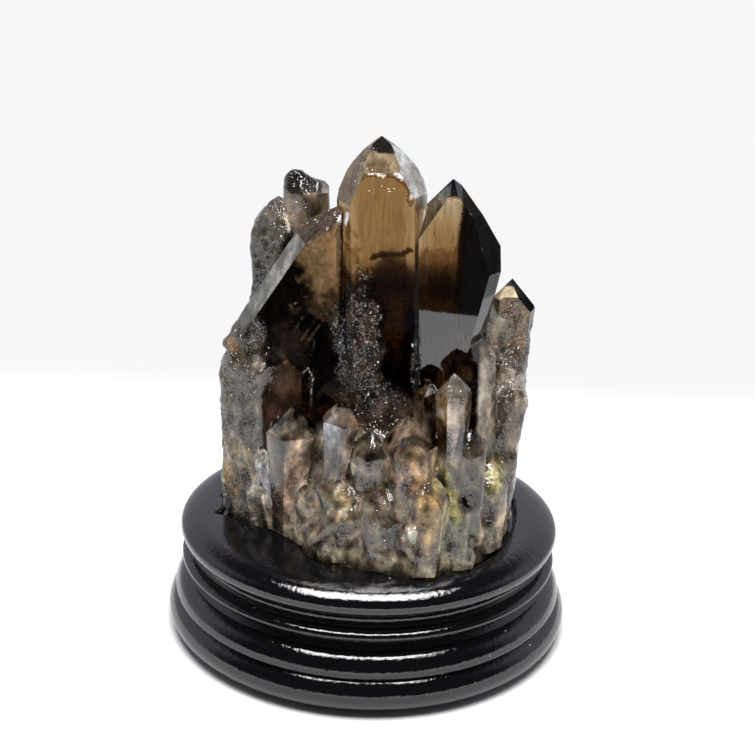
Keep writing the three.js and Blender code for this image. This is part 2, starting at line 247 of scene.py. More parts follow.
world = bpy.data.worlds.new("room")
bpy.context.scene.world = world
world.use_nodes = True
tree = world.node_tree
tree.nodes.clear()
place = add(tree, "ShaderNodeTexCoord")
way = add(tree, "ShaderNodeSeparateXYZ", None, {0: place.outputs["Generated"]})
from_behind = add(tree, "ShaderNodeMapRange", {"interpolation_type": "SMOOTHSTEP"},
                  {"Value": way.outputs["Y"], "From Min": -0.45, "From Max": 0.10})
low = add(tree, "ShaderNodeMapRange", {"interpolation_type": "SMOOTHSTEP"},
          {"Value": way.outputs["Z"], "From Min": 0.60, "From Max": 0.80, "To Min": 1.0, "To Max": 0.0})
white = add(tree, "ShaderNodeMath", {"operation": "MULTIPLY"},
            {0: from_behind.outputs[0], 1: low.outputs[0]})
level = add(tree, "ShaderNodeMapRange", None,
            {"Value": white.outputs[0], "To Min": ROOM_DIM, "To Max": ROOM_WHITE})
path = add(tree, "ShaderNodeLightPath")
seen = add(tree, "ShaderNodeMix", {"data_type": "FLOAT"},
           {0: path.outputs["Is Camera Ray"], 2: level.outputs[0], 3: BACKGROUND})
cool = add(tree, "ShaderNodeMix", {"data_type": "RGBA"},
           {0: path.outputs["Is Camera Ray"], 6: linear("#eef3ff"), 7: linear("#fcfcfe")})
sky = add(tree, "ShaderNodeBackground", None, {"Color": cool.outputs[2], "Strength": seen.outputs[0]})
add(tree, "ShaderNodeOutputWorld", None, {"Surface": sky.outputs[0]})
print("room:", len(tree.nodes), "nodes")

# %% [markdown]
# Light that enters the stone is bent and thrown about inside it many times before it gets out. With too
# few bounces the amber windows would go black. The colours are shown as they are reckoned, with no film
# curve over them, so that a hex value matched to the photograph stays matched.

# %% Bounces and colours
BOUNCES = 16

bpy.context.scene.view_settings.view_transform = "Standard"
bpy.context.scene.cycles.max_bounces = BOUNCES
bpy.context.scene.cycles.transmission_bounces = BOUNCES
print("light paths of up to", BOUNCES, "bounces")

# %% [markdown]
# ## The stone's fine shape
# The solid has flat faces with crisp edges, which suits the tall points. The real stone is etched and
# chipped lower down, and its small crystals have run together. So the faces are cut into small
# triangles, the worn places are smoothed a little, and then roughened again by noise.
#
# Blender's own subdividing would follow the solid's long thin triangles and leave slivers, and a remesh
# would blunt the crisp edges. So each flat face is found, its rim is cut into short pieces, and the
# inside is filled with an even grid of points.

# %% Triangles and their normals
SIDE = 0.8  # the length of a small triangle's side, in millimetres
FLAT = math.cos(math.radians(0.4))  # triangles closer than this belong to one flat face


def unit(vectors, least=1e-12):
    """The same directions, with a length of one."""
    return vectors / np.maximum(np.linalg.norm(vectors, axis=1), least)[:, None]


def area_normals(points, corners):
    """Each triangle's normal, as long as twice its area."""
    a, b, c = (points[corners[:, i]] for i in range(3))
    return np.cross(b - a, c - a)


def side_users(corners):
    """The triangles that meet at each side, by the numbers of the side's two ends."""
    users = {}
    for i, (p, q, r) in enumerate(corners.tolist()):
        for side in ((p, q), (q, r), (r, p)):
            users.setdefault((min(side), max(side)), []).append(i)
    return users


def flat_faces(corners, users, upright):
    """Gathers neighbouring triangles with one direction into flat faces."""
    leader = list(range(len(corners)))

    def lead(i):
        while leader[i] != i:
            leader[i] = leader[leader[i]]
            i = leader[i]
        return i

    for pair in users.values():
        if len(pair) == 2 and upright[pair[0]] @ upright[pair[1]] > FLAT:
            leader[lead(pair[0])] = lead(pair[1])
    faces = {}
    for i in range(len(corners)):
        faces.setdefault(lead(i), []).append(i)
    return list(faces.values())


print("triangles within", round(math.degrees(math.acos(FLAT)), 2), "degrees share a flat face")


# %% [markdown]
# The inside of a flat face is filled from a triangular grid, like a honeycomb's middles, because it gives
# triangles with nearly equal sides. A grid point is inside if a ray from it crosses the rim an odd number
# of times. Points too near to the rim are left out, as they would make slivers.

# %% An even grid inside a rim
def triangle_grid(low, high, step):
    """Points of an even triangular grid over a rectangle."""
    rows = np.arange(low[1] + step / 2, high[1], step * 0.866)
    row = np.arange(low[0], high[0], step)
    grid = [np.stack([row + (j % 2) * step / 2, np.full(len(row), v)], 1) for j, v in enumerate(rows)]
    return np.concatenate(grid) if grid else np.zeros((0, 2))


def keep_inside(grid, start, end, clearance):
    """The grid points that lie inside a loop of straight sides, and not too near to it."""
    span = end - start
    crossings = np.zeros(len(grid), int)
    nearest = np.full(len(grid), 1e9)
    for p, q, d in zip(start, end, span):
        if p[1] != q[1]:
            at = p[0] + (grid[:, 1] - p[1]) * d[0] / d[1]
            crossings += ((grid[:, 1] < p[1]) != (grid[:, 1] < q[1])) & (grid[:, 0] < at)
        t = np.clip((grid - p) @ d / max(d @ d, 1e-12), 0, 1)
        nearest = np.minimum(nearest, ((grid - p - t[:, None] * d) ** 2).sum(1))
    return grid[(crossings % 2 == 1) & (nearest > clearance ** 2)]


print("a square of 8 mm holds", len(triangle_grid((0, 0), (8, 8), SIDE)), "grid points")


# %% [markdown]
# Two flat faces that meet have to share the points of their common side, or the stone would be torn open
# there. So the sides are cut first, once for both. Then each face is covered by Blender's own Delaunay
# triangulation, which keeps the rim as it is and makes the roundest triangles it can.

# %% Rims and coverings
def cut_sides(points, users, face_of, count):
    """Cuts the sides where flat faces meet into short pieces, and gives each face its rim."""
    rims = [[] for _ in range(count)]
    for (p, q), pair in users.items():
        meeting = {face_of[i] for i in pair}
        if len(meeting) == 1 and len(pair) == 2:
            continue
        start, span = points[p], points[q] - points[p]
        pieces = max(1, round(float(np.linalg.norm(span)) / SIDE))
        chain = [p] + [len(points) + s for s in range(pieces - 1)] + [q]
        points.extend(start + span * s / pieces for s in range(1, pieces))
        for number in meeting:
            rims[number].extend(zip(chain, chain[1:]))
    return rims


def cover_face(points, rim, up):
    """Covers one flat face with even triangles. New points go to the end of the list."""
    across = np.cross(up, (0, 0, 1) if abs(up[2]) < 0.9 else (1, 0, 0))
    across /= np.linalg.norm(across)
    flat = np.stack([across, np.cross(up, across)], 1)
    ids = sorted({i for pair in rim for i in pair})
    local = {point: i for i, point in enumerate(ids)}
    origin = points[ids[0]]
    plane = np.array([points[i] - origin for i in ids]) @ flat
    sides = [(local[p], local[q]) for p, q in rim]
    start, end = (plane[[side[i] for side in sides]] for i in (0, 1))
    grid = triangle_grid(plane.min(0), plane.max(0), SIDE)
    filling = keep_inside(grid, start, end, 0.45 * SIDE)
    cover = geometry.delaunay_2d_cdt([Vector(p) for p in (*plane, *filling)], sides, [], 2, 1e-7)
    number_of = []
    for spot, sources in zip(cover[0], cover[3]):
        if sources and min(sources) < len(ids):
            number_of.append(ids[min(sources)])
        else:
            number_of.append(len(points))
            points.append(origin + flat @ np.array(spot))
    return [[number_of[i] for i in triangle] for triangle in cover[2]]


def even_mesh(points, corners):
    """Covers each flat face with small even triangles that meet along its sides."""
    normal = area_normals(points, corners)
    users = side_users(corners)
    faces = flat_faces(corners, users, unit(normal))
    face_of = {i: number for number, face in enumerate(faces) for i in face}
    points = list(points)
    rims = cut_sides(points, users, face_of, len(faces))
    triangles, facet, covered = [], [], set()
    for number, (face, rim) in enumerate(zip(faces, rims)):
        up = normal[face].sum(0)
        up /= np.linalg.norm(up)
        for named in cover_face(points, rim, up):
            if len(set(named)) == 3 and frozenset(named) not in covered:
                covered.add(frozenset(named))
                triangles.append(named)
                facet.append(number)
    return np.array(points), np.array(triangles), np.array(facet)


print("small triangles with sides of about", SIDE, "mm")

# %% [markdown]
# The frame's solid comes as single triangles that don't know their neighbours, so the points that
# coincide are joined first. From here on `places` are the points, `corners` the three point numbers of
# each triangle, and `facet` says which flat face a triangle belongs to.

# %% Build the stone's mesh
bm = bmesh.new()
bm.from_mesh(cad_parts["quartz_cluster"].data)
bmesh.ops.remove_doubles(bm, verts=bm.verts, dist=0.002 * MM)
solid_points = np.array([v.co for v in bm.verts]) / MM
solid_corners = np.array([[v.index for v in f.verts] for f in bm.faces])
bm.free()
places, corners, facet = even_mesh(solid_points, solid_corners)
mesh = bpy.data.meshes.new("smoky_quartz")
mesh.from_pydata((places * MM).tolist(), [], corners.tolist())
cluster = bpy.data.objects.new("smoky_quartz", mesh)
bpy.context.scene.collection.objects.link(cluster)
print("stone:", len(places), "points,", len(corners), "triangles,", facet.max() + 1, "facets")


# %% [markdown]
# ### Soft spots
# Where the stone is worn, etched or milky is written down as soft spots: a middle, a reach along each
# axis, and how strong it is, all in millimetres. Noise frays their edges.

# %% Fog, steps and spots
def fog(places, scale, octaves=3):
    """Soft noise from -1 to 1, with features of about scale millimetres."""
    return np.array([noise.fractal(Vector(p) / scale, 1.0, 2.0, octaves) for p in places])


def smooth(value, low, high):
    """0 below low, 1 above high, and a soft step between; low may be the greater one."""
    t = np.clip((value - low) / (high - low), 0, 1)
    return t * t * (3 - 2 * t)


def spots(places, fray, rows):
    """The strongest of several soft spots at each point."""
    total = np.zeros(len(places))
    for x, y, z, reach_x, reach_y, reach_z, strength in rows:
        away = (places - (x, y, z)) / (reach_x, reach_y, reach_z)
        total = np.maximum(total, strength * smooth(np.linalg.norm(away, axis=1) + fray, 1.25, 0.65))
    return total


fray = 0.35 * fog(places, 5.0)
x, y, z = places.T
print("edges fray by up to", round(float(np.abs(fray).max()), 2), "of a spot's reach")

# %% [markdown]
# ### Worn places
# Hot water and time have worn the low front, the back and the flanks, while the tall points in front
# kept their polish. `worn` says for each point how far its edges are rounded and its faces roughened.

# %% Worn places
front_line = 88 + 8 * fog(places, 14.0, 2)  # the ragged height where the worn front ends
low_part = 0.65 * smooth(z, front_line, 66) * smooth(y, 6, -14)
low_back = smooth(y, 2, 14) * smooth(z, 112, 84)
far_left = smooth(x, -31, -38) * smooth(z, 118, 106)
far_right = 0.9 * smooth(x, 30, 36) * smooth(z, 112, 104)
left_back = smooth(x, -17, -21) * smooth(y, 0, 5)
worn = np.clip(np.max([low_part, low_back, far_left, far_right, left_back], axis=0), 0, 1)
print("worn share of points:", round(float((worn > 0.5).mean()), 3))


# %% [markdown]
# ### Round and roughen
# A bevel would round all edges alike. Here each point moves towards its neighbours by as much as it is
# worn, and then out or in along its normal by three noises: lumps, upright streaks and small pits.
# The foot in the seat stays as the solid has it.

# %% Smoothing and normals
def neighbours(mesh):
    """Each edge as two point numbers."""
    flat = np.empty(len(mesh.edges) * 2, np.int32)
    mesh.edges.foreach_get("vertices", flat)
    return flat.reshape(-1, 2)


def relax(places, edges, amount, times):
    """Moves each point towards the mean of its neighbours."""
    count = np.bincount(edges.ravel(), minlength=len(places))[:, None]
    for _ in range(times):
        total = np.zeros_like(places)
        np.add.at(total, edges[:, 0], places[edges[:, 1]])
        np.add.at(total, edges[:, 1], places[edges[:, 0]])
        places = places + (total / count - places) * amount[:, None]
    return places


def point_normals(places, corners):
    """Area-weighted normals."""
    face = area_normals(places, corners)
    total = np.zeros_like(places)
    for i in range(3):
        np.add.at(total, corners[:, i], face)
    return unit(total)


edges = neighbours(mesh)
print("stone:", len(edges), "edges")

# %% Round and roughen
FOOT_TOP = 42.5  # below this the stone sits in the carved seat, and stays as it is
LUMP_HEIGHT, LUMP_SIZE = 0.8, 8.0  # millimetres, as are the next two
STREAK_HEIGHT, STREAK_SIZE = 0.5, 2.2
PIT_HEIGHT, PIT_SIZE = 0.18, 1.3

loose = worn * smooth(z, FOOT_TOP, FOOT_TOP + 3)
moved = relax(places, edges, 0.5 * loose, 5)
lumps = LUMP_HEIGHT * fog(moved, LUMP_SIZE, 3)
streaks = STREAK_HEIGHT * fog(moved / (1, 1, 4), STREAK_SIZE, 3)
pits = PIT_HEIGHT * fog(moved, PIT_SIZE, 2)
rear = smooth(y, -12, 6)
flank = np.maximum(smooth(x, -30, -36), smooth(x, 32, 37))
rough_share = loose * (0.3 + 0.7 * np.maximum(rear, flank))
moved = moved + point_normals(moved, corners) * (rough_share * (lumps + streaks + pits))[:, None]
sunk = (z > FOOT_TOP - 0.2) & (moved[:, 2] < FOOT_TOP)  # noise may not push a point into the seat
moved[sunk, 2] = FOOT_TOP - 0.2
mesh.vertices.foreach_set("co", (moved * MM).astype(np.float32).ravel())
mesh.update()
print("largest move:", round(float(np.linalg.norm(moved - places, axis=1).max()), 2), "mm")

# %% [markdown]
# Flat faces keep crisp edges between them, and worn places are shaded as one soft surface. Blender
# shades an edge soft or sharp by a mark on it, so each edge is marked by its angle and by its wear.

# %% Crisp and soft edges
CRISP = math.radians(7)  # an edge sharper than this stays sharp where nothing is worn
BROKEN = math.radians(65)  # and sharper than this where all is worn


def mark_edges(mesh, worn, edges):
    """Marks the edges of flat faces as sharp, and says how many there are."""
    bm = bmesh.new()
    bm.from_mesh(mesh)
    for edge, (a, b) in zip(bm.edges, edges):
        wear = (worn[a] + worn[b]) / 2
        edge.smooth = bool(edge.calc_face_angle(0) < CRISP + (BROKEN - CRISP) * min(1, wear * 3))
    for face in bm.faces:
        face.smooth = True
    sharp = sum(not edge.smooth for edge in bm.edges)
    bm.to_mesh(mesh)
    bm.free()
    return sharp


print("sharp edges:", mark_edges(mesh, loose, edges))

# %% [markdown]
# ## What the surface does to light
# Clear quartz, milky veils, etched frost and stained skin shade into each other on one stone. An image
# painted over it would blur where two facets meet. So each look is a number kept on the mesh: how far
# the surface hides the inside (milky), how frosty it is (etched), and what colour it has where it hides
# the inside (stain). The places are soft spots and noise, and the material reads the numbers.

# %% Helpers for colours
def rgb(hex_colour):
    """The linear RGB of a hex colour, as an array."""
    return np.array(linear(hex_colour)[:3])


def mix(under, over, share):
    """Lays one value over another, by a share from 0 to 1."""
    return under * (1 - share) + over * share


cloudy = fog(places / (1, 1, 1.8), 4.0, 5)  # upright clouds, a few millimetres wide
print("clouds run from", round(float(cloudy.min()), 2), "to", round(float(cloudy.max()), 2))

# %% [markdown]
# ### The dark back
# Light comes in behind the two tall points and makes their amber windows. Lower down other crystals stand
# behind them, and the light is lost. Rather than model those hidden crystals, the back turns opaque and
# dark below the windows, as painted shade. `over_foot` is the height above the ragged foot of the window,
# which lies higher behind the right point. The right flank of that point is painted black too, as a
# painted dark reflection.

# %% Dark back
WINDOW_FOOT = 122.5  # the lowest clear height behind the tall middle point
over_foot = z + 3 * fray - WINDOW_FOOT + 5 * smooth(x, -8, -11) - 6.5 * smooth(x, 12, 14)
# painted shade: the back below the windows, where the light from behind is lost
behind_windows = smooth(y + 0.6 * fray, -1, 5) * smooth(over_foot, 8, -7)
# painted dark reflection on the right point's flank
black_flank = smooth(x, 24.6, 25.6) * smooth(x, 35, 33) * smooth(z, 106, 118)
behind_right = smooth(x, 24, 25.5) * smooth(y, -6, -3) * smooth(z, 156, 150)
behind_left = smooth(x, -17, -21) * smooth(y, 0, 4)
back = np.max([behind_windows, black_flank, behind_right, behind_left], axis=0)
print("dark back, share of points:", round(float((back > 0.5).mean()), 3))

# %% [markdown]
# ### Milky veils
# Tiny fluid bubbles make quartz milky, mostly where it grew fast near the base. A fog inside the stone
# would be truer and far slower to render, so the skin hides the inside there instead. The veils are
# spots with clouds in them. The leaning left point has an amber veil with a more ragged edge.

# %% Milky veils
MILKY_SPOTS = [  # x, y, z, reach in x, y and z, strength
    (-43, -8, 80, 8, 12, 32, 0.95), (-41, -7, 108, 6, 10, 10, 0.7), (-26, 16, 150, 11, 10, 13, 0.95),
    (-34, 16, 132, 9, 11, 28, 0.95), (-18.5, 12, 145, 4.5, 8, 11, 0.85), (42, -6, 96, 8, 10, 14, 0.8),
    (34, -2, 110, 5, 8, 12, 0.6), (42, 1, 118, 6, 7, 7, 0.95), (44, -6, 78, 8, 10, 16, 0.6),
    (3, -13, 83, 12, 5, 7, 0.6), (-27, -9, 104, 8, 5, 13, 0.5), (37, -9, 97, 5, 8, 14, 0.9),
    (-1, -24, 80, 7, 8, 7, 0.75), (11, -22, 84, 9, 8, 8, 0.85), (-5, -11, 102, 9, 8, 27, 0.48),
    (24, -25, 94, 6, 7, 9, 0.7), (-16, -10, 133, 9, 4, 15, 0.7), (-12.6, -8.8, 114.5, 2, 3, 4, 0.6),
    (-28, -20, 50, 14, 12, 10, 0.9), (12, -30, 76, 8, 8, 9, 0.8), (42, -12, 80, 8, 8, 16, 0.8),
    (-24, -20, 76, 7, 8, 11, 0.6), (-10, -24, 82, 6, 7, 11, 0.6),
]
AMBER_VEIL = [(-15.5, -10, 135, 9, 4, 12, 0.75), (-14, -10, 122, 8, 4, 14, 0.4)]

milky = np.maximum(smooth(worn, 0, 0.4) * np.clip(0.85 + 0.4 * cloudy, 0.4, 1), 0.95 * back)
milky = np.maximum(milky, spots(places, fray, MILKY_SPOTS) * np.clip(0.95 + 0.4 * cloudy, 0, 1))
milky = np.maximum(milky, spots(places, 1.2 * fray, AMBER_VEIL))
milky = np.clip(milky, 0, 1)
print("milky share of points:", round(float(milky.mean()), 3))

# %% [markdown]
# ### Etched frost
# Hot water has etched some faces into thousands of tiny facets. They glint one by one, and a grey veil
# lies over the black depths. Facets that small would take millions of triangles, so only their share is
# kept here, and the material makes them. The frost follows the worn places, and has spots of its own.

# %% Etched frost
ETCHED_SPOTS = [  # x, y, z, reach in x, y and z, strength
    (-45, -8, 92, 8, 12, 30, 0.7), (-34, 15, 132, 7, 11, 12, 0.35), (-5.5, -11, 103, 7.5, 8, 28, 0.7),
    (12.6, -11.8, 101, 1.4, 4, 12, 0.9), (3, -13, 86, 8, 5, 8, 0.6), (42, -6, 97, 8, 10, 12, 1.0),
    (-22, -9, 118, 5, 5, 5, 0.12), (-41, -8, 106, 6, 6, 8, 1.0), (2, -10, 154, 9, 3, 1.6, 0.4),
    (-18, -5, 146, 7, 3, 3, 0.5),
]

calm = 1 - 0.65 * smooth(x, -17, -20) * smooth(z, 116, 124) - 0.6 * smooth(x, 30, 34) * smooth(z, 94, 88)
frosty_wear = worn * calm * (0.35 + 0.65 * np.maximum(rear, flank))
etched = np.maximum(frosty_wear, spots(places, fray, ETCHED_SPOTS))
etched = etched * np.clip(0.85 + 0.8 * fog(places / (1, 1, 2), 2.5, 4), 0.1, 1.2)
print("etched share of points:", round(float(etched.mean()), 3))

# %% [markdown]
# The tall points are matt behind, in fine upright streaks. A matt back glows evenly with the light from
# the sheet, where a polished one would show a jumble of reflections.

# %% Matt backs of the tall points
matt = smooth(y, -1, 3) * smooth(z, 112, 120) * smooth(x, -20, -17)
matt = np.clip(matt * (0.75 + 0.5 * fog(places / (1, 1, 7), 1.6, 3)), 0, 1)
print("matt share of points:", round(float(matt.mean()), 3))

# %% [markdown]
# ### The ground colour
# Under everything the skin is a grey brown with pale and dark patches about 9 mm across. It darkens
# towards the back, as painted shade where the light is lost, and towards the top. Behind the windows it
# goes from clear through amber brown to black, as painted shade, so that each window fades downwards as
# the real ones do.

# %% Ground colour
stain = np.ones((len(places), 3)) * rgb("#968a7c")
pale_patches = 0.6 * smooth(fog(places / (1, 1, 1.8), 9.0, 6), 0.1, 0.6)[:, None]
dark_patches = 0.8 * smooth(fog((places + 40) / (1, 1, 1.8), 8.0, 6), 0.0, 0.45)[:, None]
stain = mix(mix(stain, rgb("#ddd4c8"), pale_patches), rgb("#45372a"), dark_patches)

high = (z > 95)[:, None]
# painted shade behind the windows: lighter amber brown above their foot, black below it
browned = (smooth(back, 0, 0.1) * smooth(x, -19, -16))[:, None] * high
amber_brown = rgb("#8e7a64") + 0.45 * smooth(over_foot, 4, 8)[:, None]
stain = mix(stain, amber_brown, browned)
# painted shade towards the back, where the light is lost, and darker towards the top as well
rear_and_top = (np.maximum(smooth(y, -4, 4), smooth(z, 98, 112)) * smooth(z, 60, 90))[:, None]
dark = np.maximum(0.9 * rear_and_top, np.minimum(1, 5 * back)[:, None] * high)
dark = mix(dark, 0.84 * smooth(over_foot, 1.0, -4.0)[:, None], browned)
stain = mix(stain, rgb("#17120d"), dark)
print("ground colour, mean:", stain.mean(0).round(3))

# %% [markdown]
# ### The amber windows
# The tall middle and right points are clear above their dark feet, and glow amber. Most of it comes from
# the smoke in the stone's depth. A thin veil on the front face, in upright streaks, warms it a little
# more, and `window` marks the place for the fibres that the material adds later.

# %% Amber windows
window = smooth(y, -6, -8) * smooth(z, 120, 124) * smooth(x, -10.5, -9.5) * smooth(x, 25.5, 24.5)
streak = smooth(fog(places / (1, 1, 9), 1.2, 4), 0.0, 0.5)
milky = np.maximum(milky, 0.12 * window * streak)
stain = mix(stain, rgb("#80602f"), window[:, None])
print("window share of points:", round(float(window.mean()), 3))

# %% [markdown]
# ### Stains
# Iron has stained the stone ochre and orange, chlorite olive green, and some spots are chalky or nearly
# black. Each stain is a colour with a soft spot, uneven as a real crust is. The full-strength one is the
# even amber of the leaning left point.

# %% Stains
STAINS = [  # colour, then x, y, z, reach in x, y and z, strength
    ("#c6c08c", 38, -19, 68, 7, 8, 7, 0.95), ("#a8a274", 23, -29, 70, 5, 6, 5, 0.95),
    ("#a09a68", 25, -31, 62, 4, 6, 5, 0.85), ("#7c8068", 28, -35, 52, 9, 8, 8, 0.7),
    ("#2b2214", 31, -29, 63, 3.5, 5, 4, 0.95), ("#b89c6c", 18, -38, 62, 5, 6, 9, 0.7),
    ("#d8cdbc", 13, -40, 55, 2.5, 4, 5, 0.9), ("#c2b08c", 39, -24, 54, 5, 8, 8, 0.75),
    ("#b48238", -44, -8, 55, 3.5, 6, 5, 0.85), ("#a8864c", -15.5, -30, 55, 3, 5, 4, 0.85),
    ("#e6dcc8", -36, -14, 55, 4, 6, 5, 0.85), ("#e6dece", -34, -17, 68, 2.5, 4, 5, 0.9),
    ("#eae0cc", -20.5, -27, 56, 3, 4, 3, 0.85), ("#8f7f66", -9, -33, 62, 6, 6, 6, 0.8),
    ("#a08e78", -28, -20, 50, 14, 12, 10, 0.6), ("#b09274", 12, -30, 76, 8, 8, 9, 0.8),
    ("#7a5536", -22, -24, 72, 6, 6, 6, 0.6), ("#7c6a55", -25, -20, 80, 5, 6, 6, 0.7),
    ("#b5aaa2", -13, -22, 84, 3.5, 5, 8, 0.9), ("#6b5842", -7, -25, 80, 3.5, 6, 10, 0.8),
    ("#7d6a56", -23, 10, 142, 13, 9, 6, 0.9), ("#1a1613", -23, 12, 153, 11, 9, 6.5, 0.9),
    ("#47423b", -35, 12, 134, 7, 12, 16, 0.8), ("#4a3c2c", 43, 2, 118, 7, 8, 10, 0.95),
    ("#cdb486", 41, 0, 118.5, 2.6, 4, 3, 0.95), ("#7d6a50", 36, 0, 112, 3, 6, 14, 0.6),
    ("#857260", 41, -12, 80, 8, 8, 14, 0.8), ("#4a4032", -43, -9, 90, 8, 10, 20, 0.95),
    ("#86734e", -43, -9, 62, 7, 10, 10, 0.7), ("#a08356", 24, -27, 92, 5, 6, 7, 0.8),
    ("#5e4a3a", 3, -13, 83, 12, 5, 7, 0.9), ("#5e4a3c", -5, -11, 102, 9, 8, 27, 0.9),
    ("#3a2c24", -27, -9, 104, 8, 5, 13, 0.95), ("#6e6052", 37, -9, 97, 5, 8, 14, 0.8),
    ("#6f6052", -1, -24, 80, 7, 8, 7, 0.9), ("#7d6a58", 11, -22, 84, 9, 8, 8, 0.9),
    ("#b0a48f", -28, -22, 45, 14, 10, 6, 0.7), ("#8e7250", -16, -10, 132, 11, 4, 17, 1),
    ("#7d7a62", -12.6, -8.8, 114.5, 2, 3, 4, 0.95), ("#2e2b23", -43, -9, 107, 6, 8, 5, 0.85),
    ("#6b4c30", -45, -10, 103, 3, 5, 2.5, 0.8), ("#3f3a30", -41, -10, 88, 3, 5, 6, 0.7),
]


def uneven(colour, amount):
    """A colour at each point, made lighter and darker by the clouds."""
    return rgb(colour) * np.clip(1 + amount * cloudy, 0.3, 2)[:, None]


for colour, *spot in STAINS:
    strength = spot[-1]
    share = np.minimum(1, 2.5 * spots(places, fray, [spot]))[:, None] * strength
    stain = mix(stain, uneven(colour, 0.9 if strength < 1 else 0.25), share)
print(len(STAINS), "stains, mean colour now:", stain.mean(0).round(3))

# %% [markdown]
# ### Cracks, healed edges and painted glints
# Thin lines run through several places: the black ragged crack under the middle window, the bright
# broken edges at its top, which are chipped and carry painted highlights, a pale healed edge low in front,
# and faint fibres on the leaning left point. The first line is a painted highlight alone: the white
# triangular glint at the top of the leaning left point. The cracks, edges and fibres are only colour on
# the real stone, so they aren't raised here either.

# %% Cracks, healed edges and painted glints
CRACKS_AND_GLINTS = [  # colour, half a width, and the points that the line runs through
    # painted highlight: the white triangular glint at the top of the leaning left point
    ("#fbfbff", 0.8, [(-11.9, -8.4, 144.8), (-9.2, -8.7, 146.2), (-9.8, -7.6, 142.9)]),
    ("#5a4326", 0.3, [(-7.5, -9.6, 156), (-4, -9.7, 158.6), (4, -9.7, 158.8), (8.6, -9.7, 155),
                      (9, -9.8, 150)]),
    # chipped edges at the top of the middle point, with painted highlights
    ("#f6f4f0", 0.3, [(1.5, -8.8, 160), (4.2, -9.4, 159.5), (6.5, -9.6, 158)]),
    ("#ece8e0", 0.3, [(-3, -9.4, 159.4), (-0.7, -9.4, 159.3), (1, -9.6, 158)]),
    ("#f6f4f0", 0.4, [(9.3, -8.9, 154.8), (9.5, -9.4, 152.6)]),
    ("#dcd8c8", 0.3, [(-8, -24, 88), (-5.2, -27, 80), (-5.5, -27.1, 70.5), (-9.7, -28.6, 65.9),
                      (-12.2, -31.1, 58)]),
    ("#b5aa9a", 0.2, [(-28.8, 10.5, 141), (-28.2, 8.8, 138.6), (-27.6, 7, 134.5)]),
    ("#cfd2d2", 0.05, [(-20.4, -7.5, 95.4), (-18.7, -10.1, 93.6), (-19.5, -10.2, 87), (-20.2, -14, 84)]),
    ("#1a120a", 0.45, [(-1.6, -10.7, 133.7), (0.7, -10.7, 135), (6.5, -10.7, 134.9), (9.4, -10.6, 136.5)]),
    ("#1a120a", 0.7, [(1.2, -10.7, 135), (4.2, -10.7, 134.6)]),
    ("#5a4230", 0.1, [(-12.6, -9, 117.3), (-20.4, -8.4, 105.5), (-27.6, -10.8, 98), (-30, -12, 90)]),
    ("#4c382a", 0.1, [(-16.2, -8.8, 115.2), (-24.4, -8.2, 103), (-28.5, -11, 95)]),
    ("#523e2e", 0.0, [(-18.1, -9.3, 119.2), (-25, -8.8, 108)]),
    ("#463426", 0.0, [(-20.5, -9.3, 121), (-28, -9.2, 107)]),
]


def near_line(places, line):
    """How far each point is from a line through several places."""
    nearest = np.full(len(places), 1e9)
    for start, end in zip(np.array(line[:-1], float), np.array(line[1:], float)):
        span = end - start
        t = np.clip((places - start) @ span / (span @ span), 0, 1)
        nearest = np.minimum(nearest, np.linalg.norm(places - start - t[:, None] * span, axis=1))
    return nearest


ragged_edge = 0.4 * fog(places, 1.5, 2)
for colour, half, line in CRACKS_AND_GLINTS:
    share = smooth(near_line(places, line) + ragged_edge, half + 0.5, half)
    milky = np.maximum(milky, 0.9 * share)
    stain = mix(stain, rgb(colour), np.minimum(1, 4 * share)[:, None])
print(len(CRACKS_AND_GLINTS), "cracks")

# %% [markdown]
# ### Crust and shade at the foot
# A beige crust lies on the lowest front, where the stone was broken from its rock. Above it the small
# crystals shade each other, and the camera's exposure leaves them darker than the tall points.

# %% Crust and shade
crust = (0.6 * smooth(z + 2 * fray, 50, 45) * smooth(y, -2, -12))[:, None]
stain = mix(stain, uneven("#b3a486", 0.8), crust)
shaded = (0.56 - 0.5 * crust[:, 0]) * smooth(z, 88, 76) * smooth(y, 0, -10) * smooth(x, -34, -24)
stain = stain * (1 - shaded[:, None] * (0.94, 1.0, 1.1))
print("mean colour under the crust:", stain.mean(0).round(3))
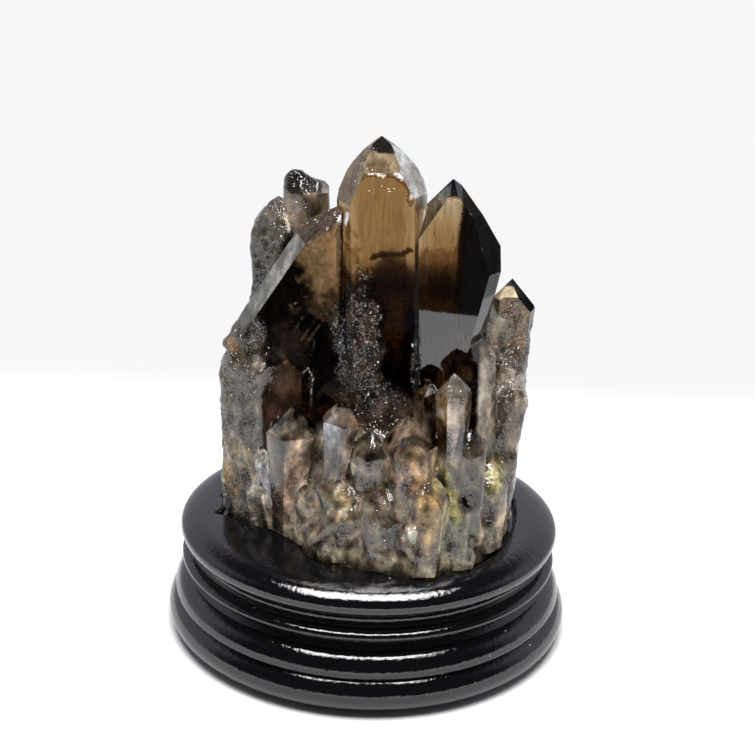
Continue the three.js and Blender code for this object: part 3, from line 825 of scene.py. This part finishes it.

# %% [markdown]
# ### Single facets
# Some facets differ from their neighbours: a black cap and black faces, which are a painted dark
# reflection, a pale grey shoulder, which is a painted reflection of the white backdrop, and a beige break.
# From here on the numbers are kept at the corners of the triangles, so that two facets can meet in a crisp
# edge. A facet is named by a point on it, and its look can start at a height, with a frayed lower edge.

# %% Single facets
FACETS = [  # a point on the facet, its colour, how milky it is, how etched, and the height it starts at
    # painted reflection: the grey facets #8b8e8e, #979a9e and #a3a7a7; painted dark reflection: #0e0c0a,
    # #0d0b09
    ((-8.1, -7.7, 153.2), "#54462f", 0.80, 0.3), ((9.1, -5.5, 157.7), "#8b8e8e", 0.85, 0.05),
    ((12.4, -6.2, 150.5), "#979a9e", 0.80, 0.05, 149), ((5.5, -6.2, 162.2), "#a3a7a7", 0.80, 0.05),
    ((-0.1, -4.9, 164.6), "#665a48", 0.90, 0.1), ((17.1, -6.7, 149.3), "#463c2e", 0.85, 0.1),
    ((20.5, -8.7, 150.1), "#b8986a", 0.30, 0.05, 150), ((29.7, -8.6, 142.8), "#0e0c0a", 0.97, 0.05),
    ((26.4, -5.7, 150.8), "#0e0c0a", 0.97, 0.1), ((35.8, -0.1, 114.2), "#8a857a", 0.80, 0.1),
    ((-25.9, -9.6, 131.1), "#7c7972", 0.75, 0.05, 112), ((-14.4, -6.1, 144.9), "#4a3826", 0.70, 0.4),
    ((39.8, 0.8, 119.3), "#c9b794", 0.95, 0.1), ((38.6, -1.7, 108.3), "#a3906f", 0.85, 0.2, 110),
    ((39.8, -0.2, 114.4), "#ecdcba", 0.95, 0.25, 108), ((37.5, 1.6, 118.2), "#c9b794", 0.95, 0.1),
    ((44.2, 0.6, 117.5), "#6a5740", 0.80, 0.5), ((42.8, 4.8, 121.1), "#0d0b09", 0.98, 0.1),
    ((-21.7, -23.7, 79.1), "#b89b80", 0.75, 0.1), ((-26.7, -25.0, 79.6), "#6e5a48", 0.60, 0.1),
    ((-10.9, -27.9, 85.2), "#b0aeb6", 0.85, 0.05, 80), ((-6.5, -27.1, 84.9), "#a8937f", 0.75, 0.1),
    ((-33.9, -17.4, 64.5), "#d2cfd2", 0.80, 0.05), ((13.3, -39.3, 54.8), "#d6d0c0", 0.95, 0.1),
    ((-7.1, -35.0, 58.3), "#776e5e", 0.90, 0.1), ((24.3, -26.7, 96.0), "#b5a492", 0.75, 0.2, 80),
    ((25.1, -23.5, 99.4), "#978a7c", 0.75, 0.3), ((21.4, -26.2, 95.6), "#a08c76", 0.70, 0.1),
    ((-27.3, -10.3, 89.2), "#5a4032", 0.70, 0.05), ((-33.2, -13.3, 87.0), "#5a4334", 0.70, 0.05),
    ((17.8, -28.7, 78.3), "#9a8468", 0.75, 0.1), ((24.4, -32.9, 65.3), "#9c8e6e", 0.80, 0.2),
]
FADE = 5  # millimetres above and below the height where a facet's look starts

milky, etched, stain = milky[corners], etched[corners], stain[corners]
middle = places[corners].mean(1)


def on_facet(point):
    """Which small triangles belong to the facet that is nearest to a point."""
    return facet == facet[np.linalg.norm(middle - point, axis=1).argmin()]


for point, colour, how_milky, how_etched, *lowest in FACETS:
    chosen = on_facet(point)
    ids, start = corners[chosen], (lowest or [0])[0]
    share = smooth(z[ids] + 3 * fray[ids], start - FADE, start + FADE)
    veil = np.clip(how_milky * (0.95 + 0.35 * cloudy[ids]), 0, 1)
    milky[chosen] = mix(milky[chosen], veil, share)
    etched[chosen] = mix(etched[chosen], how_etched, share)
    shade = rgb(colour) * np.clip(1 + 0.5 * cloudy[ids], 0.3, 2)[..., None]
    stain[chosen] = mix(stain[chosen], shade, share[..., None])
print(len(FACETS), "facets have a look of their own")

# %% [markdown]
# The low front is a jumble of small crystals, shards and veins. Fine light and dark patches over it
# break up the flat facets. The tips are painted black, as a painted dark reflection: two on their whole
# tip, and the middle one on its front facet alone.

# %% Veined low front and painted black tips
TIP_FRONT = (-0.1, -4.9, 164.6)  # on the front facet of the tallest tip
veined = np.clip(1 + 1.1 * fog((places + 20) / (1, 1, 1.5), 3.0, 5), 0.35, 2)
low_front = smooth(z, 92, 80) * smooth(y, 0, -8)
stain = stain * (1 + low_front * (veined - 1))[corners][..., None]

# painted dark reflection on the tips and on the right point's flank
right_tip = smooth(z + fray, 152, 153.2) * smooth(x, 14, 15)
short_right_tip = smooth(z + fray, 120.9, 121.3) * smooth(x, 35, 36)
middle_cap = smooth(z + 2 * fray, 163.9, 164.7)[corners] * on_facet(TIP_FRONT)[:, None]
black_ends = np.clip(black_flank + (right_tip + short_right_tip), 0, 1)
blackened = np.maximum(black_ends[corners], middle_cap)
milky = np.maximum(milky, 0.97 * blackened)
stain = mix(stain, rgb("#0d0b09"), np.minimum(1, 5 * blackened)[..., None])
print("blackened share:", round(float(blackened.mean()), 4))

# %% [markdown]
# ### Which way facets lean
# A glossy facet shows whatever it mirrors, so a degree of lean decides between a black depth and a
# white glare. The solid's facets are right to a degree or two only. Moving them would change the shape,
# so the material leans their shading instead. Outside, each facet has its own lean. Inside, light that
# leaves through a slanting back face is bent almost as by an upright one, which keeps the windows even.

# %% Lean of single facets
EXIT_LEAN = 0.85  # 1 would make every slanting back face act as an upright one
FRONT_LEANS = [  # a point on a front facet, and how far it leans up
    ((-22.8, -9.7, 122.4), 0.17),  # the left point mirrors the dark table
    ((21, -9.3, 139.6), -0.028),  # the right point mirrors the edge of the sheet
    ((9, -11.7, 111.4), 0.15),  # the middle point mirrors the dark table
]
RIGHT_CAP = (42.8, 4.8, 121.1)  # on the black cap of the short right point

face_normal = unit(area_normals(moved, corners))
normal_x, normal_y = face_normal[:, 0], face_normal[:, 1]
middle_x, middle_y, middle_z = middle.T

lean = np.zeros((len(corners), 3, 3))
for point, up in FRONT_LEANS:
    lean[on_facet(point), :, 2] = up
dark_side = (normal_x > 0.5) & (normal_y < 0) & (middle_x > 24) & (middle_z > 122)
lean[dark_side, :, 1] -= 0.7
lean[on_facet(RIGHT_CAP)] += (-0.3, -0.9, -0.2)
sideways = (np.abs(normal_x) > 0.5) & (normal_y < 0) & (middle_z < 152)
tall_sides = sideways & (middle_x > 8) & (middle_x < 16.5) & (middle_z > 84) & (middle_y > -12)
tall_sides |= sideways & (middle_x > -12) & (middle_x < -6) & (np.abs(middle_z - 108) < 18)
lean[tall_sides] += (0, -0.7, 0.5)

backward = (normal_y > 0.2) & (middle_z > 112) & (middle_x > -18)
exit_lean = -EXIT_LEAN * ((0, 1, 0) - face_normal) * backward[:, None]
exit_lean = np.repeat(exit_lean[:, None], 3, axis=1)
print("triangles that lean:", int((np.abs(lean).sum((1, 2)) > 0).sum()))

# %% [markdown]
# A facet that faces a certain way up mirrors the lamp and goes white. On the real stone hardly any do,
# so such facets turn a little aside here. And the low front is one fused mass, so it is shaded softly
# across its small crystals, with normals averaged over several millimetres.

# %% Turn aside from the lamp, and fuse the low front
LAMP_SLOPE = 57.5  # degrees that a facet faces up when it mirrors the lamp, at a height of 60 mm
SLOPE_BY_HEIGHT = 0.1  # degrees less for each millimetre above that
TURN_ASIDE = 0.32  # 1 would be a lean of 45 degrees

lamp_slope = np.radians(LAMP_SLOPE - SLOPE_BY_HEIGHT * (middle_z - 60))
lamp_mirror = np.stack([0 * lamp_slope, -np.cos(lamp_slope), np.sin(lamp_slope)], 1)
toward = (face_normal * lamp_mirror).sum(1)
aside = unit(face_normal - lamp_mirror * toward[:, None], 1e-6)
push = TURN_ASIDE * smooth(middle_y, 22, 16) * smooth(toward, 0.95, 0.98)
lean += push[:, None, None] * aside[:, None, :]

soft_normals = relax(point_normals(moved, corners), edges, np.full(len(places), 0.8), 16)
soft_normals = unit(soft_normals)
fused = 0.6 * smooth(z + 8 * fray, 92, 76) * smooth(y, 0, -10)
lean += fused[corners][..., None] * (soft_normals[corners] - face_normal[:, None, :])
print("largest lean:", round(float(np.linalg.norm(lean, axis=2).max()), 2))

# %% [markdown]
# ### Chipped ridges
# Sharp outward edges of old crystals are chipped and look pale. These are the points where two facets
# meet in a ridge, thinned out by noise. The fronts of the tall points are clean.

# %% Chipped ridges
face_middle = moved[corners].mean(1)
ridge = np.zeros(len(places))
for (p, q), pair in side_users(corners).items():
    if len(pair) == 2 and facet[pair[0]] != facet[pair[1]]:
        i, j = pair
        outward_edge = (face_middle[j] - face_middle[i]) @ face_normal[i] < 0
        if outward_edge and face_normal[i] @ face_normal[j] < 0.9:
            ridge[p] = ridge[q] = 1
clean = smooth(x, -14.5, -13.5) * smooth(x, 17.5, 16.5) * smooth(z, 84, 86) * smooth(z, 152, 150)
ridge = ridge * smooth(fog(places, 5.0, 3), -0.1, 0.5) * (1 - clean)
print("chipped share of points:", round(float(ridge.mean()), 4))

# %% [markdown]
# ### Keep the numbers on the mesh
# Each facet also gets a tone of its own, a little lighter or darker, from seeded dice. The numbers go
# onto the mesh as attributes, which the material finds by their names.

# %% Attributes
dice = np.random.default_rng(3)
facet_tone = dice.normal(0, 1, facet.max() + 1)[facet]


def keep(mesh, name, values, domain, kind="FLOAT", field="value"):
    """Keeps values for each point, face or corner on the mesh, for the material to read."""
    mesh.attributes.new(name, kind, domain).data.foreach_set(field, values.astype(np.float32).ravel())


opaque = np.ones(stain.shape[:-1] + (1,))
keep(mesh, "milky", milky, "CORNER")
keep(mesh, "etched", etched, "CORNER")
keep(mesh, "stain", np.concatenate([stain, opaque], axis=-1), "CORNER", "FLOAT_COLOR", "color")
keep(mesh, "ridge", ridge, "POINT")
keep(mesh, "lean", lean, "CORNER", "FLOAT_VECTOR", "vector")
keep(mesh, "exit_lean", exit_lean, "CORNER", "FLOAT_VECTOR", "vector")
keep(mesh, "matt", matt, "POINT")
keep(mesh, "window", window, "POINT")
keep(mesh, "facet_tone", facet_tone, "FACE")
print("milky share:", round(float(milky.mean()), 3), " etched share:", round(float(etched.mean()), 3))

# %% [markdown]
# ## The quartz
# Smoky quartz is clear rock crystal, browned by radiation in the ground. Its growth faces are naturally
# smooth, and its IOR is 1.544. The brown is in the depth of the stone, not on its skin, so it is a volume
# that absorbs, blue most and red least. One material covers the stone: it transmits all light where the
# stone is clear, and turns to a stained, rougher skin where it is milky.

# %% What the material reads
quartz, tree, out = new_material("smoky quartz")
place = add(tree, "ShaderNodeTexCoord")


def read(name, output="Fac"):
    """The socket that gives one of the numbers kept on the mesh."""
    return add(tree, "ShaderNodeAttribute", {"attribute_name": name}).outputs[output]


milk, etch, stained, matt_share = read("milky"), read("etched"), read("stain", "Color"), read("matt")
tone_of_facet, on_ridge, in_window = read("facet_tone"), read("ridge"), read("window")
print("the quartz reads", len(tree.nodes) - 2, "numbers from the mesh")

# %% [markdown]
# The skin is mottled at a few millimetres, and each facet has its tone. Etched faces break up into
# grains a third of a millimetre wide. Real etch pits are finer, and this is as fine as the render shows.
# A little stirring keeps the grains from looking like cells.

# %% Mottling and grain
MOTTLE = 2.4  # millimetres, as are the next two
STIR = 1.11
GRAIN = 0.345
STIR_REACH = 0.0012  # metres

mottle = add(tree, "ShaderNodeTexNoise", None,
             {"Vector": place.outputs["Object"], "Scale": scale_for(MOTTLE), "Detail": 5.0, "Roughness": 0.7})
mottled = add(tree, "ShaderNodeMapRange", None,
              {"Value": mottle.outputs["Fac"], "From Min": 0.3, "From Max": 0.7,
               "To Min": 0.7, "To Max": 1.3})
by_facet = add(tree, "ShaderNodeMapRange", None,
               {"Value": tone_of_facet, "From Min": -2.0, "From Max": 2.0, "To Min": 0.6, "To Max": 1.4})
stir = add(tree, "ShaderNodeTexNoise", None,
           {"Vector": place.outputs["Object"], "Scale": scale_for(STIR), "Detail": 2.0})
stirred = add(tree, "ShaderNodeVectorMath", {"operation": "MULTIPLY_ADD"},
              {0: stir.outputs["Color"], 1: (STIR_REACH,) * 3, 2: place.outputs["Object"]})
grain = add(tree, "ShaderNodeTexVoronoi", {"feature": "F1"},
            {"Vector": stirred.outputs[0], "Scale": scale_for(GRAIN)})
dice_of_grain = add(tree, "ShaderNodeSeparateColor", None, {0: grain.outputs["Color"]})
speckle = add(tree, "ShaderNodeMapRange", None,
              {"Value": dice_of_grain.outputs["Red"], "To Min": 0.6, "To Max": 1.4})
grainy = add(tree, "ShaderNodeMix", {"data_type": "FLOAT"}, {0: etch, 2: 1.0, 3: speckle.outputs[0]})
by_place = add(tree, "ShaderNodeMath", {"operation": "MULTIPLY"},
               {0: mottled.outputs[0], 1: by_facet.outputs[0]})
darkness = add(tree, "ShaderNodeMath", {"operation": "MULTIPLY"},
               {0: by_place.outputs[0], 1: grainy.outputs[0]})
toned = add(tree, "ShaderNodeVectorMath", {"operation": "SCALE"}, {0: stained, "Scale": darkness.outputs[0]})
print("grains", GRAIN, "mm wide: scale", scale_for(GRAIN))

# %% [markdown]
# A milky veil isn't a smooth fog: it breaks up in wisps at its edges. Where there is hardly any milk the
# stone stays colourless and clear. From a thin veil on it takes the stain's colour, and then hides more
# and more of the inside. Chipped ridges are pale in the same way.

# %% Milkiness and chipped edges
WISP = 1.43  # millimetres
THIN_VEIL = 0.08  # from this much milk on, the stain's colour counts in full

wisp = add(tree, "ShaderNodeTexNoise", None,
           {"Vector": place.outputs["Object"], "Scale": scale_for(WISP), "Detail": 6.0, "Roughness": 0.7})
wispy = add(tree, "ShaderNodeMapRange", None,
            {"Value": wisp.outputs["Fac"], "From Min": 0.3, "From Max": 0.7, "To Min": -0.3, "To Max": 0.3})
frayed_milk = add(tree, "ShaderNodeMath", {"operation": "ADD"}, {0: milk, 1: wispy.outputs[0]})
milkiness = add(tree, "ShaderNodeMath", {"operation": "MULTIPLY", "use_clamp": True},
                {0: frayed_milk.outputs[0], 1: milk})
chip = add(tree, "ShaderNodeMath", {"operation": "MULTIPLY_ADD"}, {0: wispy.outputs[0], 1: 1.3, 2: on_ridge})
chipped = add(tree, "ShaderNodeMapRange", {"interpolation_type": "SMOOTHSTEP"},
              {"Value": chip.outputs[0], "From Min": 0.75, "From Max": 1.1, "To Max": 0.35})
hiding = add(tree, "ShaderNodeMath", {"operation": "MAXIMUM"},
             {0: milkiness.outputs[0], 1: chipped.outputs[0]})
paled = add(tree, "ShaderNodeMix", {"data_type": "RGBA"},
            {0: chipped.outputs[0], 6: toned.outputs[0], 7: linear("#cfc8bb")})
tinted = add(tree, "ShaderNodeMapRange", None, {"Value": hiding.outputs[0], "From Max": THIN_VEIL})
tint = add(tree, "ShaderNodeMix", {"data_type": "RGBA"},
           {0: tinted.outputs[0], 6: (1, 1, 1, 1), 7: paled.outputs[2]})
through = add(tree, "ShaderNodeMapRange", None,
              {"Value": hiding.outputs[0], "From Min": THIN_VEIL, "To Min": 1.0, "To Max": 0.2})
print("quartz nodes so far:", len(tree.nodes))

# %% [markdown]
# The two windows show fine upright fibres, brighter and darker. They are long growth lines inside the
# crystal. Here they tint the light that passes the front face, as noise drawn out to eleven times its
# width.

# %% Fibres in the windows
FIBRE = 0.91  # millimetres
FIBRE_SQUEEZE = 0.09  # of the height, which draws the noise out

drawn_out = add(tree, "ShaderNodeVectorMath", {"operation": "MULTIPLY"},
                {0: place.outputs["Object"], 1: (1.0, 1.0, FIBRE_SQUEEZE)})
fibre = add(tree, "ShaderNodeTexNoise", None,
            {"Vector": drawn_out.outputs[0], "Scale": scale_for(FIBRE), "Detail": 4.0, "Roughness": 0.65})
fibrous = add(tree, "ShaderNodeMapRange", None,
              {"Value": fibre.outputs["Fac"], "From Min": 0.35, "From Max": 0.65,
               "To Min": 0.5, "To Max": 1.15})
striped = add(tree, "ShaderNodeMix", {"data_type": "FLOAT"}, {0: in_window, 2: 1.0, 3: fibrous.outputs[0]})
combed = add(tree, "ShaderNodeVectorMath", {"operation": "SCALE"},
             {0: tint.outputs[2], "Scale": striped.outputs[0]})
print("fibres", FIBRE, "mm wide, about", round(FIBRE / FIBRE_SQUEEZE), "mm long")

# %% [markdown]
# Growth faces are almost polished. Each grain of an etched face has its own roughness, and leans its own
# way, a few of them far, which makes the glints. The shading normal is the true one plus the facet's
# lean and the grain's. Light that comes from inside meets the other lean.

# %% Frost and leaning facets
POLISH = 0.02  # the roughness of a growth face

uneven_grain = add(tree, "ShaderNodeMapRange", None,
                   {"Value": dice_of_grain.outputs["Green"], "To Min": 0.03, "To Max": 0.3})
etched_rough = add(tree, "ShaderNodeMath", {"operation": "MULTIPLY_ADD"},
                   {0: etch, 1: uneven_grain.outputs[0], 2: POLISH})
rough = add(tree, "ShaderNodeMath", {"operation": "MULTIPLY_ADD"},
            {0: matt_share, 1: 0.5, 2: etched_rough.outputs[0]})
any_way = add(tree, "ShaderNodeVectorMath", {"operation": "SUBTRACT"},
              {0: grain.outputs["Color"], 1: (0.5, 0.5, 0.5)})
patchy = add(tree, "ShaderNodeMapRange", None,
             {"Value": mottle.outputs["Fac"], "From Min": 0.35, "From Max": 0.65,
              "To Min": 0.3, "To Max": 1.5})
flash = add(tree, "ShaderNodeMapRange", None,
            {"Value": dice_of_grain.outputs["Blue"], "From Min": 0.85, "From Max": 1.0,
             "To Min": 1.0, "To Max": 5.0})
tilt = add(tree, "ShaderNodeMath", {"operation": "MULTIPLY"}, {0: flash.outputs[0], 1: patchy.outputs[0]})
amount = add(tree, "ShaderNodeMath", {"operation": "MULTIPLY"}, {0: etch, 1: tilt.outputs[0]})
grain_lean = add(tree, "ShaderNodeVectorMath", {"operation": "SCALE"},
                 {0: any_way.outputs[0], "Scale": amount.outputs[0]})
face = add(tree, "ShaderNodeNewGeometry")
facet_lean = add(tree, "ShaderNodeMix", {"data_type": "VECTOR"},
                 {0: face.outputs["Backfacing"], 4: read("lean", "Vector"), 5: read("exit_lean", "Vector")})
leaning = add(tree, "ShaderNodeVectorMath", {"operation": "ADD"},
              {0: facet_lean.outputs[1], 1: grain_lean.outputs[0]})
summed = add(tree, "ShaderNodeVectorMath", {"operation": "ADD"},
             {0: face.outputs["Normal"], 1: leaning.outputs[0]})
normal = add(tree, "ShaderNodeVectorMath", {"operation": "NORMALIZE"}, {0: summed.outputs[0]})
print("quartz nodes so far:", len(tree.nodes))

# %% [markdown]
# The last nodes are the stone itself. One principled surface does for all of it: where it transmits it is
# glass, and where it doesn't it is stained skin. A tinted glass surface would be as brown at a thin edge
# as in the middle, so the smoke is an absorbing volume, with its colour worked out from what a metre of
# the stone takes from red, green and blue.

# %% Surface and smoke
QUARTZ_IOR = 1.544
SMOKE = (55, 84, 134)  # what a metre of the clear stone takes from red, green and blue

skin_of_stone = add(tree, "ShaderNodeBsdfPrincipled", None,
                    {"Base Color": combed.outputs[0], "Transmission Weight": through.outputs[0],
                     "Roughness": rough.outputs[0], "IOR": QUARTZ_IOR, "Normal": normal.outputs[0]})
tree.links.new(skin_of_stone.outputs[0], out.inputs["Surface"])
density = max(SMOKE)
smoke = add(tree, "ShaderNodeVolumeAbsorption", None,
            {"Density": density, "Color": (*(1 - s / density for s in SMOKE), 1)})
tree.links.new(smoke.outputs[0], out.inputs["Volume"])

mesh.materials.append(quartz)
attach(cluster, "root")
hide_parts("quartz_cluster")
print("smoky quartz:", len(tree.nodes), "nodes, density", density)

# %% [markdown]
# ## The stand
# The stand was turned, so its section is a row of round mouldings swept round an oval: foot bead, full
# body, hollow, and the soft half-round edge of the top board. It is swept again here with smooth curves,
# because gloss shows every flat. Blender's Screw modifier sweeps round a circle only, so the rings are
# worked out one by one.

# %% Turned section
RIM_HALF_WIDTH = 62.5
RIM_HALF_DEPTH = 52.0
STAND_TOP = 42.0
SEAT_FLOOR = 38.5
ROUND_STEPS = 320


def arc(out, z, wide, high, start, end, steps):
    """Points of an elliptic arc, as distance out from the rim line and height."""
    turns = np.radians(np.linspace(start, end, steps + 1))
    return list(zip(out + wide * np.cos(turns), z + high * np.sin(turns)))


section = [(-1.0, 0.0)]
section += arc(-1.5, 6.7, 6.4, 6.4, -66, 62, 16)  # foot bead
section += arc(-4.6, 14.2, 7.0, 6.4, 0, 78, 16)  # full body
section += [(-1.7, 21.4)] + arc(-1.6, 24.2, -2, 2.2, -60, 60, 8)  # fillet and hollow
section += arc(-3.6, 26.8, 3.5, 1.9, -50, 82, 12)  # small bead
section += arc(-2.8, 30.8, -2, 2.2, -55, 60, 8)  # cove under the board
section += arc(-4.5, 37.5, 4.5, 4.5, -62, 0, 9) + arc(-9, 37.5, 9, 4.5, 6, 90, 14)  # edge of the board
print("section:", len(section), "points")


# %% [markdown]
# ### The carved seat
# A boolean cut would leave long thin faces in the gloss. Instead the last rings of the sweep run inwards
# over the board to the seat's outline, which is measured on the solid, and go down into it. Where the
# carving cut through the lacquer the edge is a little ragged, and at the back it gapes.

# %% Rings of the stand
def oval_ring(out, z):
    """One ring of the stand, at a distance out from the rim line."""
    turns = np.linspace(0, 2 * math.pi, ROUND_STEPS, endpoint=False)
    wide, deep = RIM_HALF_WIDTH + out, RIM_HALF_DEPTH + out
    return np.stack([wide * np.cos(turns), deep * np.sin(turns), np.full(ROUND_STEPS, z)], 1)


def seat_ring(ring):
    """Where the seat's outline lies, in the directions of another ring's points."""
    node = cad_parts["wood_stand"].data
    around = np.array([v.co for v in node.vertices]) / MM
    around = around[np.abs(around[:, 2] - SEAT_FLOOR) < 0.01][:, :2]
    around = around[np.hypot(*around.T) > 20]
    turn = np.arctan2(around[:, 1], around[:, 0])
    order = np.argsort(turn)
    turn, around = turn[order], around[order]
    start, end = around, np.roll(around, -1, axis=0)
    outline = []
    for x, y, _ in ring:
        way = math.atan2(y, x)
        i = (np.searchsorted(turn, way) - 1) % len(turn)
        (ax, ay), (bx, by) = start[i], end[i]
        c, s = math.cos(way), math.sin(way)
        # where the ray in this direction crosses the side from a to b
        reach = (ax * (by - ay) - ay * (bx - ax)) / (c * (by - ay) - s * (bx - ax))
        outline.append((reach * c, reach * s))
    return np.array(outline)


def at_height(outline, z):
    """A ring through the points of a flat outline."""
    return np.column_stack([outline, np.full(ROUND_STEPS, z)])


rings = [oval_ring(out, z) for out, z in section]
board = rings[-1][:, :2]
seat = seat_ring(rings[-1])
print("seat:", seat.min(0).round(1), "to", seat.max(0).round(1), "mm")

# %% Run the rings into the seat
BOARD_STEPS = 6  # rings from the board's edge to the lip

ragged = 0.35 * fog(np.column_stack([seat, np.zeros(len(seat))]), 1.8, 2)
outward = seat / np.hypot(*seat.T)[:, None]
gap = 1.1 * smooth(np.abs(seat[:, 0]), 28, 36) * smooth(seat[:, 1], 20, 8)
lip = seat + outward * (0.15 + gap + (1 + gap) * ragged)[:, None]
rings += [at_height(mix(board, lip, share), STAND_TOP) for share in np.linspace(0, 1, BOARD_STEPS + 1)[1:]]
rings.append(at_height(seat + outward * 0.1, STAND_TOP - 0.5))
rings.append(at_height(seat, STAND_TOP - 1.0))
rings.append(at_height(seat, SEAT_FLOOR))
print("rings:", len(rings), " lip gapes by up to", round(float(np.hypot(*(lip - seat).T).max()), 2), "mm")

# %% Skin over the rings
stand_places = np.concatenate(rings + [[(0, 0, SEAT_FLOOR), (0, 0, 0)]])
seat_middle, foot_middle = len(stand_places) - 2, len(stand_places) - 1
faces = []
for i in range(len(rings) - 1):
    for j in range(ROUND_STEPS):
        k = (j + 1) % ROUND_STEPS
        row, above = i * ROUND_STEPS, (i + 1) * ROUND_STEPS
        faces.append((row + j, row + k, above + k, above + j))
last = (len(rings) - 1) * ROUND_STEPS
for j in range(ROUND_STEPS):
    k = (j + 1) % ROUND_STEPS
    faces += [(last + j, last + k, seat_middle), (k, j, foot_middle)]
stand_mesh = bpy.data.meshes.new("lacquered_stand")
stand_mesh.from_pydata((stand_places * MM).tolist(), [], faces)
stand_mesh.shade_smooth()
stand_mesh.set_sharp_from_angle(angle=math.radians(35))
stand = bpy.data.objects.new("lacquered_stand", stand_mesh)
bpy.context.scene.collection.objects.link(stand)
print("stand:", len(stand_places), "points,", len(faces), "faces")

# %% [markdown]
# ### Black lacquer
# The stand is hardwood under many coats of black lacquer, rubbed to a high gloss. No grain shows through.
# To the eye it is black with mirror reflections, so it is a near-black surface with hardly any roughness
# and the IOR of lacquer, 1.52. Brushed coats never dry quite flat: a faint orange peel breaks the
# reflections up. A few grains of dust lie on it. Real dust is finer, and these are as coarse as the
# render needs.

# %% Orange peel and dust
PEEL = 1.61  # millimetres, as is the next one
DUST_APART = 3.85
PEEL_DEPTH = 0.11 * MM
DUSTY_SHARE = 0.1  # of the places where a grain could lie

lacquer, tree, out = new_material("black lacquered wood")
place = add(tree, "ShaderNodeTexCoord")
peel = add(tree, "ShaderNodeTexNoise", None,
           {"Vector": place.outputs["Object"], "Scale": scale_for(PEEL), "Detail": 3.0, "Roughness": 0.6})
peeled = add(tree, "ShaderNodeBump", None,
             {"Height": peel.outputs["Fac"], "Strength": 1.0, "Distance": PEEL_DEPTH})
specks = add(tree, "ShaderNodeTexVoronoi", {"feature": "F1"},
             {"Vector": place.outputs["Object"], "Scale": scale_for(DUST_APART)})
rare = add(tree, "ShaderNodeTexWhiteNoise", {"noise_dimensions": "3D"},
           {"Vector": specks.outputs["Position"]})
lucky = add(tree, "ShaderNodeMath", {"operation": "GREATER_THAN"},
            {0: rare.outputs["Value"], 1: 1 - DUSTY_SHARE})
small = add(tree, "ShaderNodeMapRange", None,
            {"Value": specks.outputs["Distance"], "From Min": 0.04, "From Max": 0.09,
             "To Min": 1.0, "To Max": 0.0})
dust = add(tree, "ShaderNodeMath", {"operation": "MULTIPLY"}, {0: lucky.outputs[0], 1: small.outputs[0]})
print("peel scale", scale_for(PEEL), " dust scale", scale_for(DUST_APART))

# %% Black lacquer
LACQUER_IOR = 1.52
GLOSS_ROUGHNESS, DUST_ROUGHNESS = 0.03, 0.6

coat = add(tree, "ShaderNodeMix", {"data_type": "RGBA"},
           {0: dust.outputs[0], 6: linear("#050507"), 7: linear("#8d8a86")})
coat_rough = add(tree, "ShaderNodeMapRange", None,
                 {"Value": dust.outputs[0], "To Min": GLOSS_ROUGHNESS, "To Max": DUST_ROUGHNESS})
gloss = add(tree, "ShaderNodeBsdfPrincipled", None,
            {"Base Color": coat.outputs[2], "Roughness": coat_rough.outputs[0], "IOR": LACQUER_IOR,
             "Normal": peeled.outputs[0]})
tree.links.new(gloss.outputs[0], out.inputs["Surface"])

stand_mesh.materials.append(lacquer)
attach(stand, "root")
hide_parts("wood_stand")
print("black lacquer:", len(tree.nodes), "nodes")
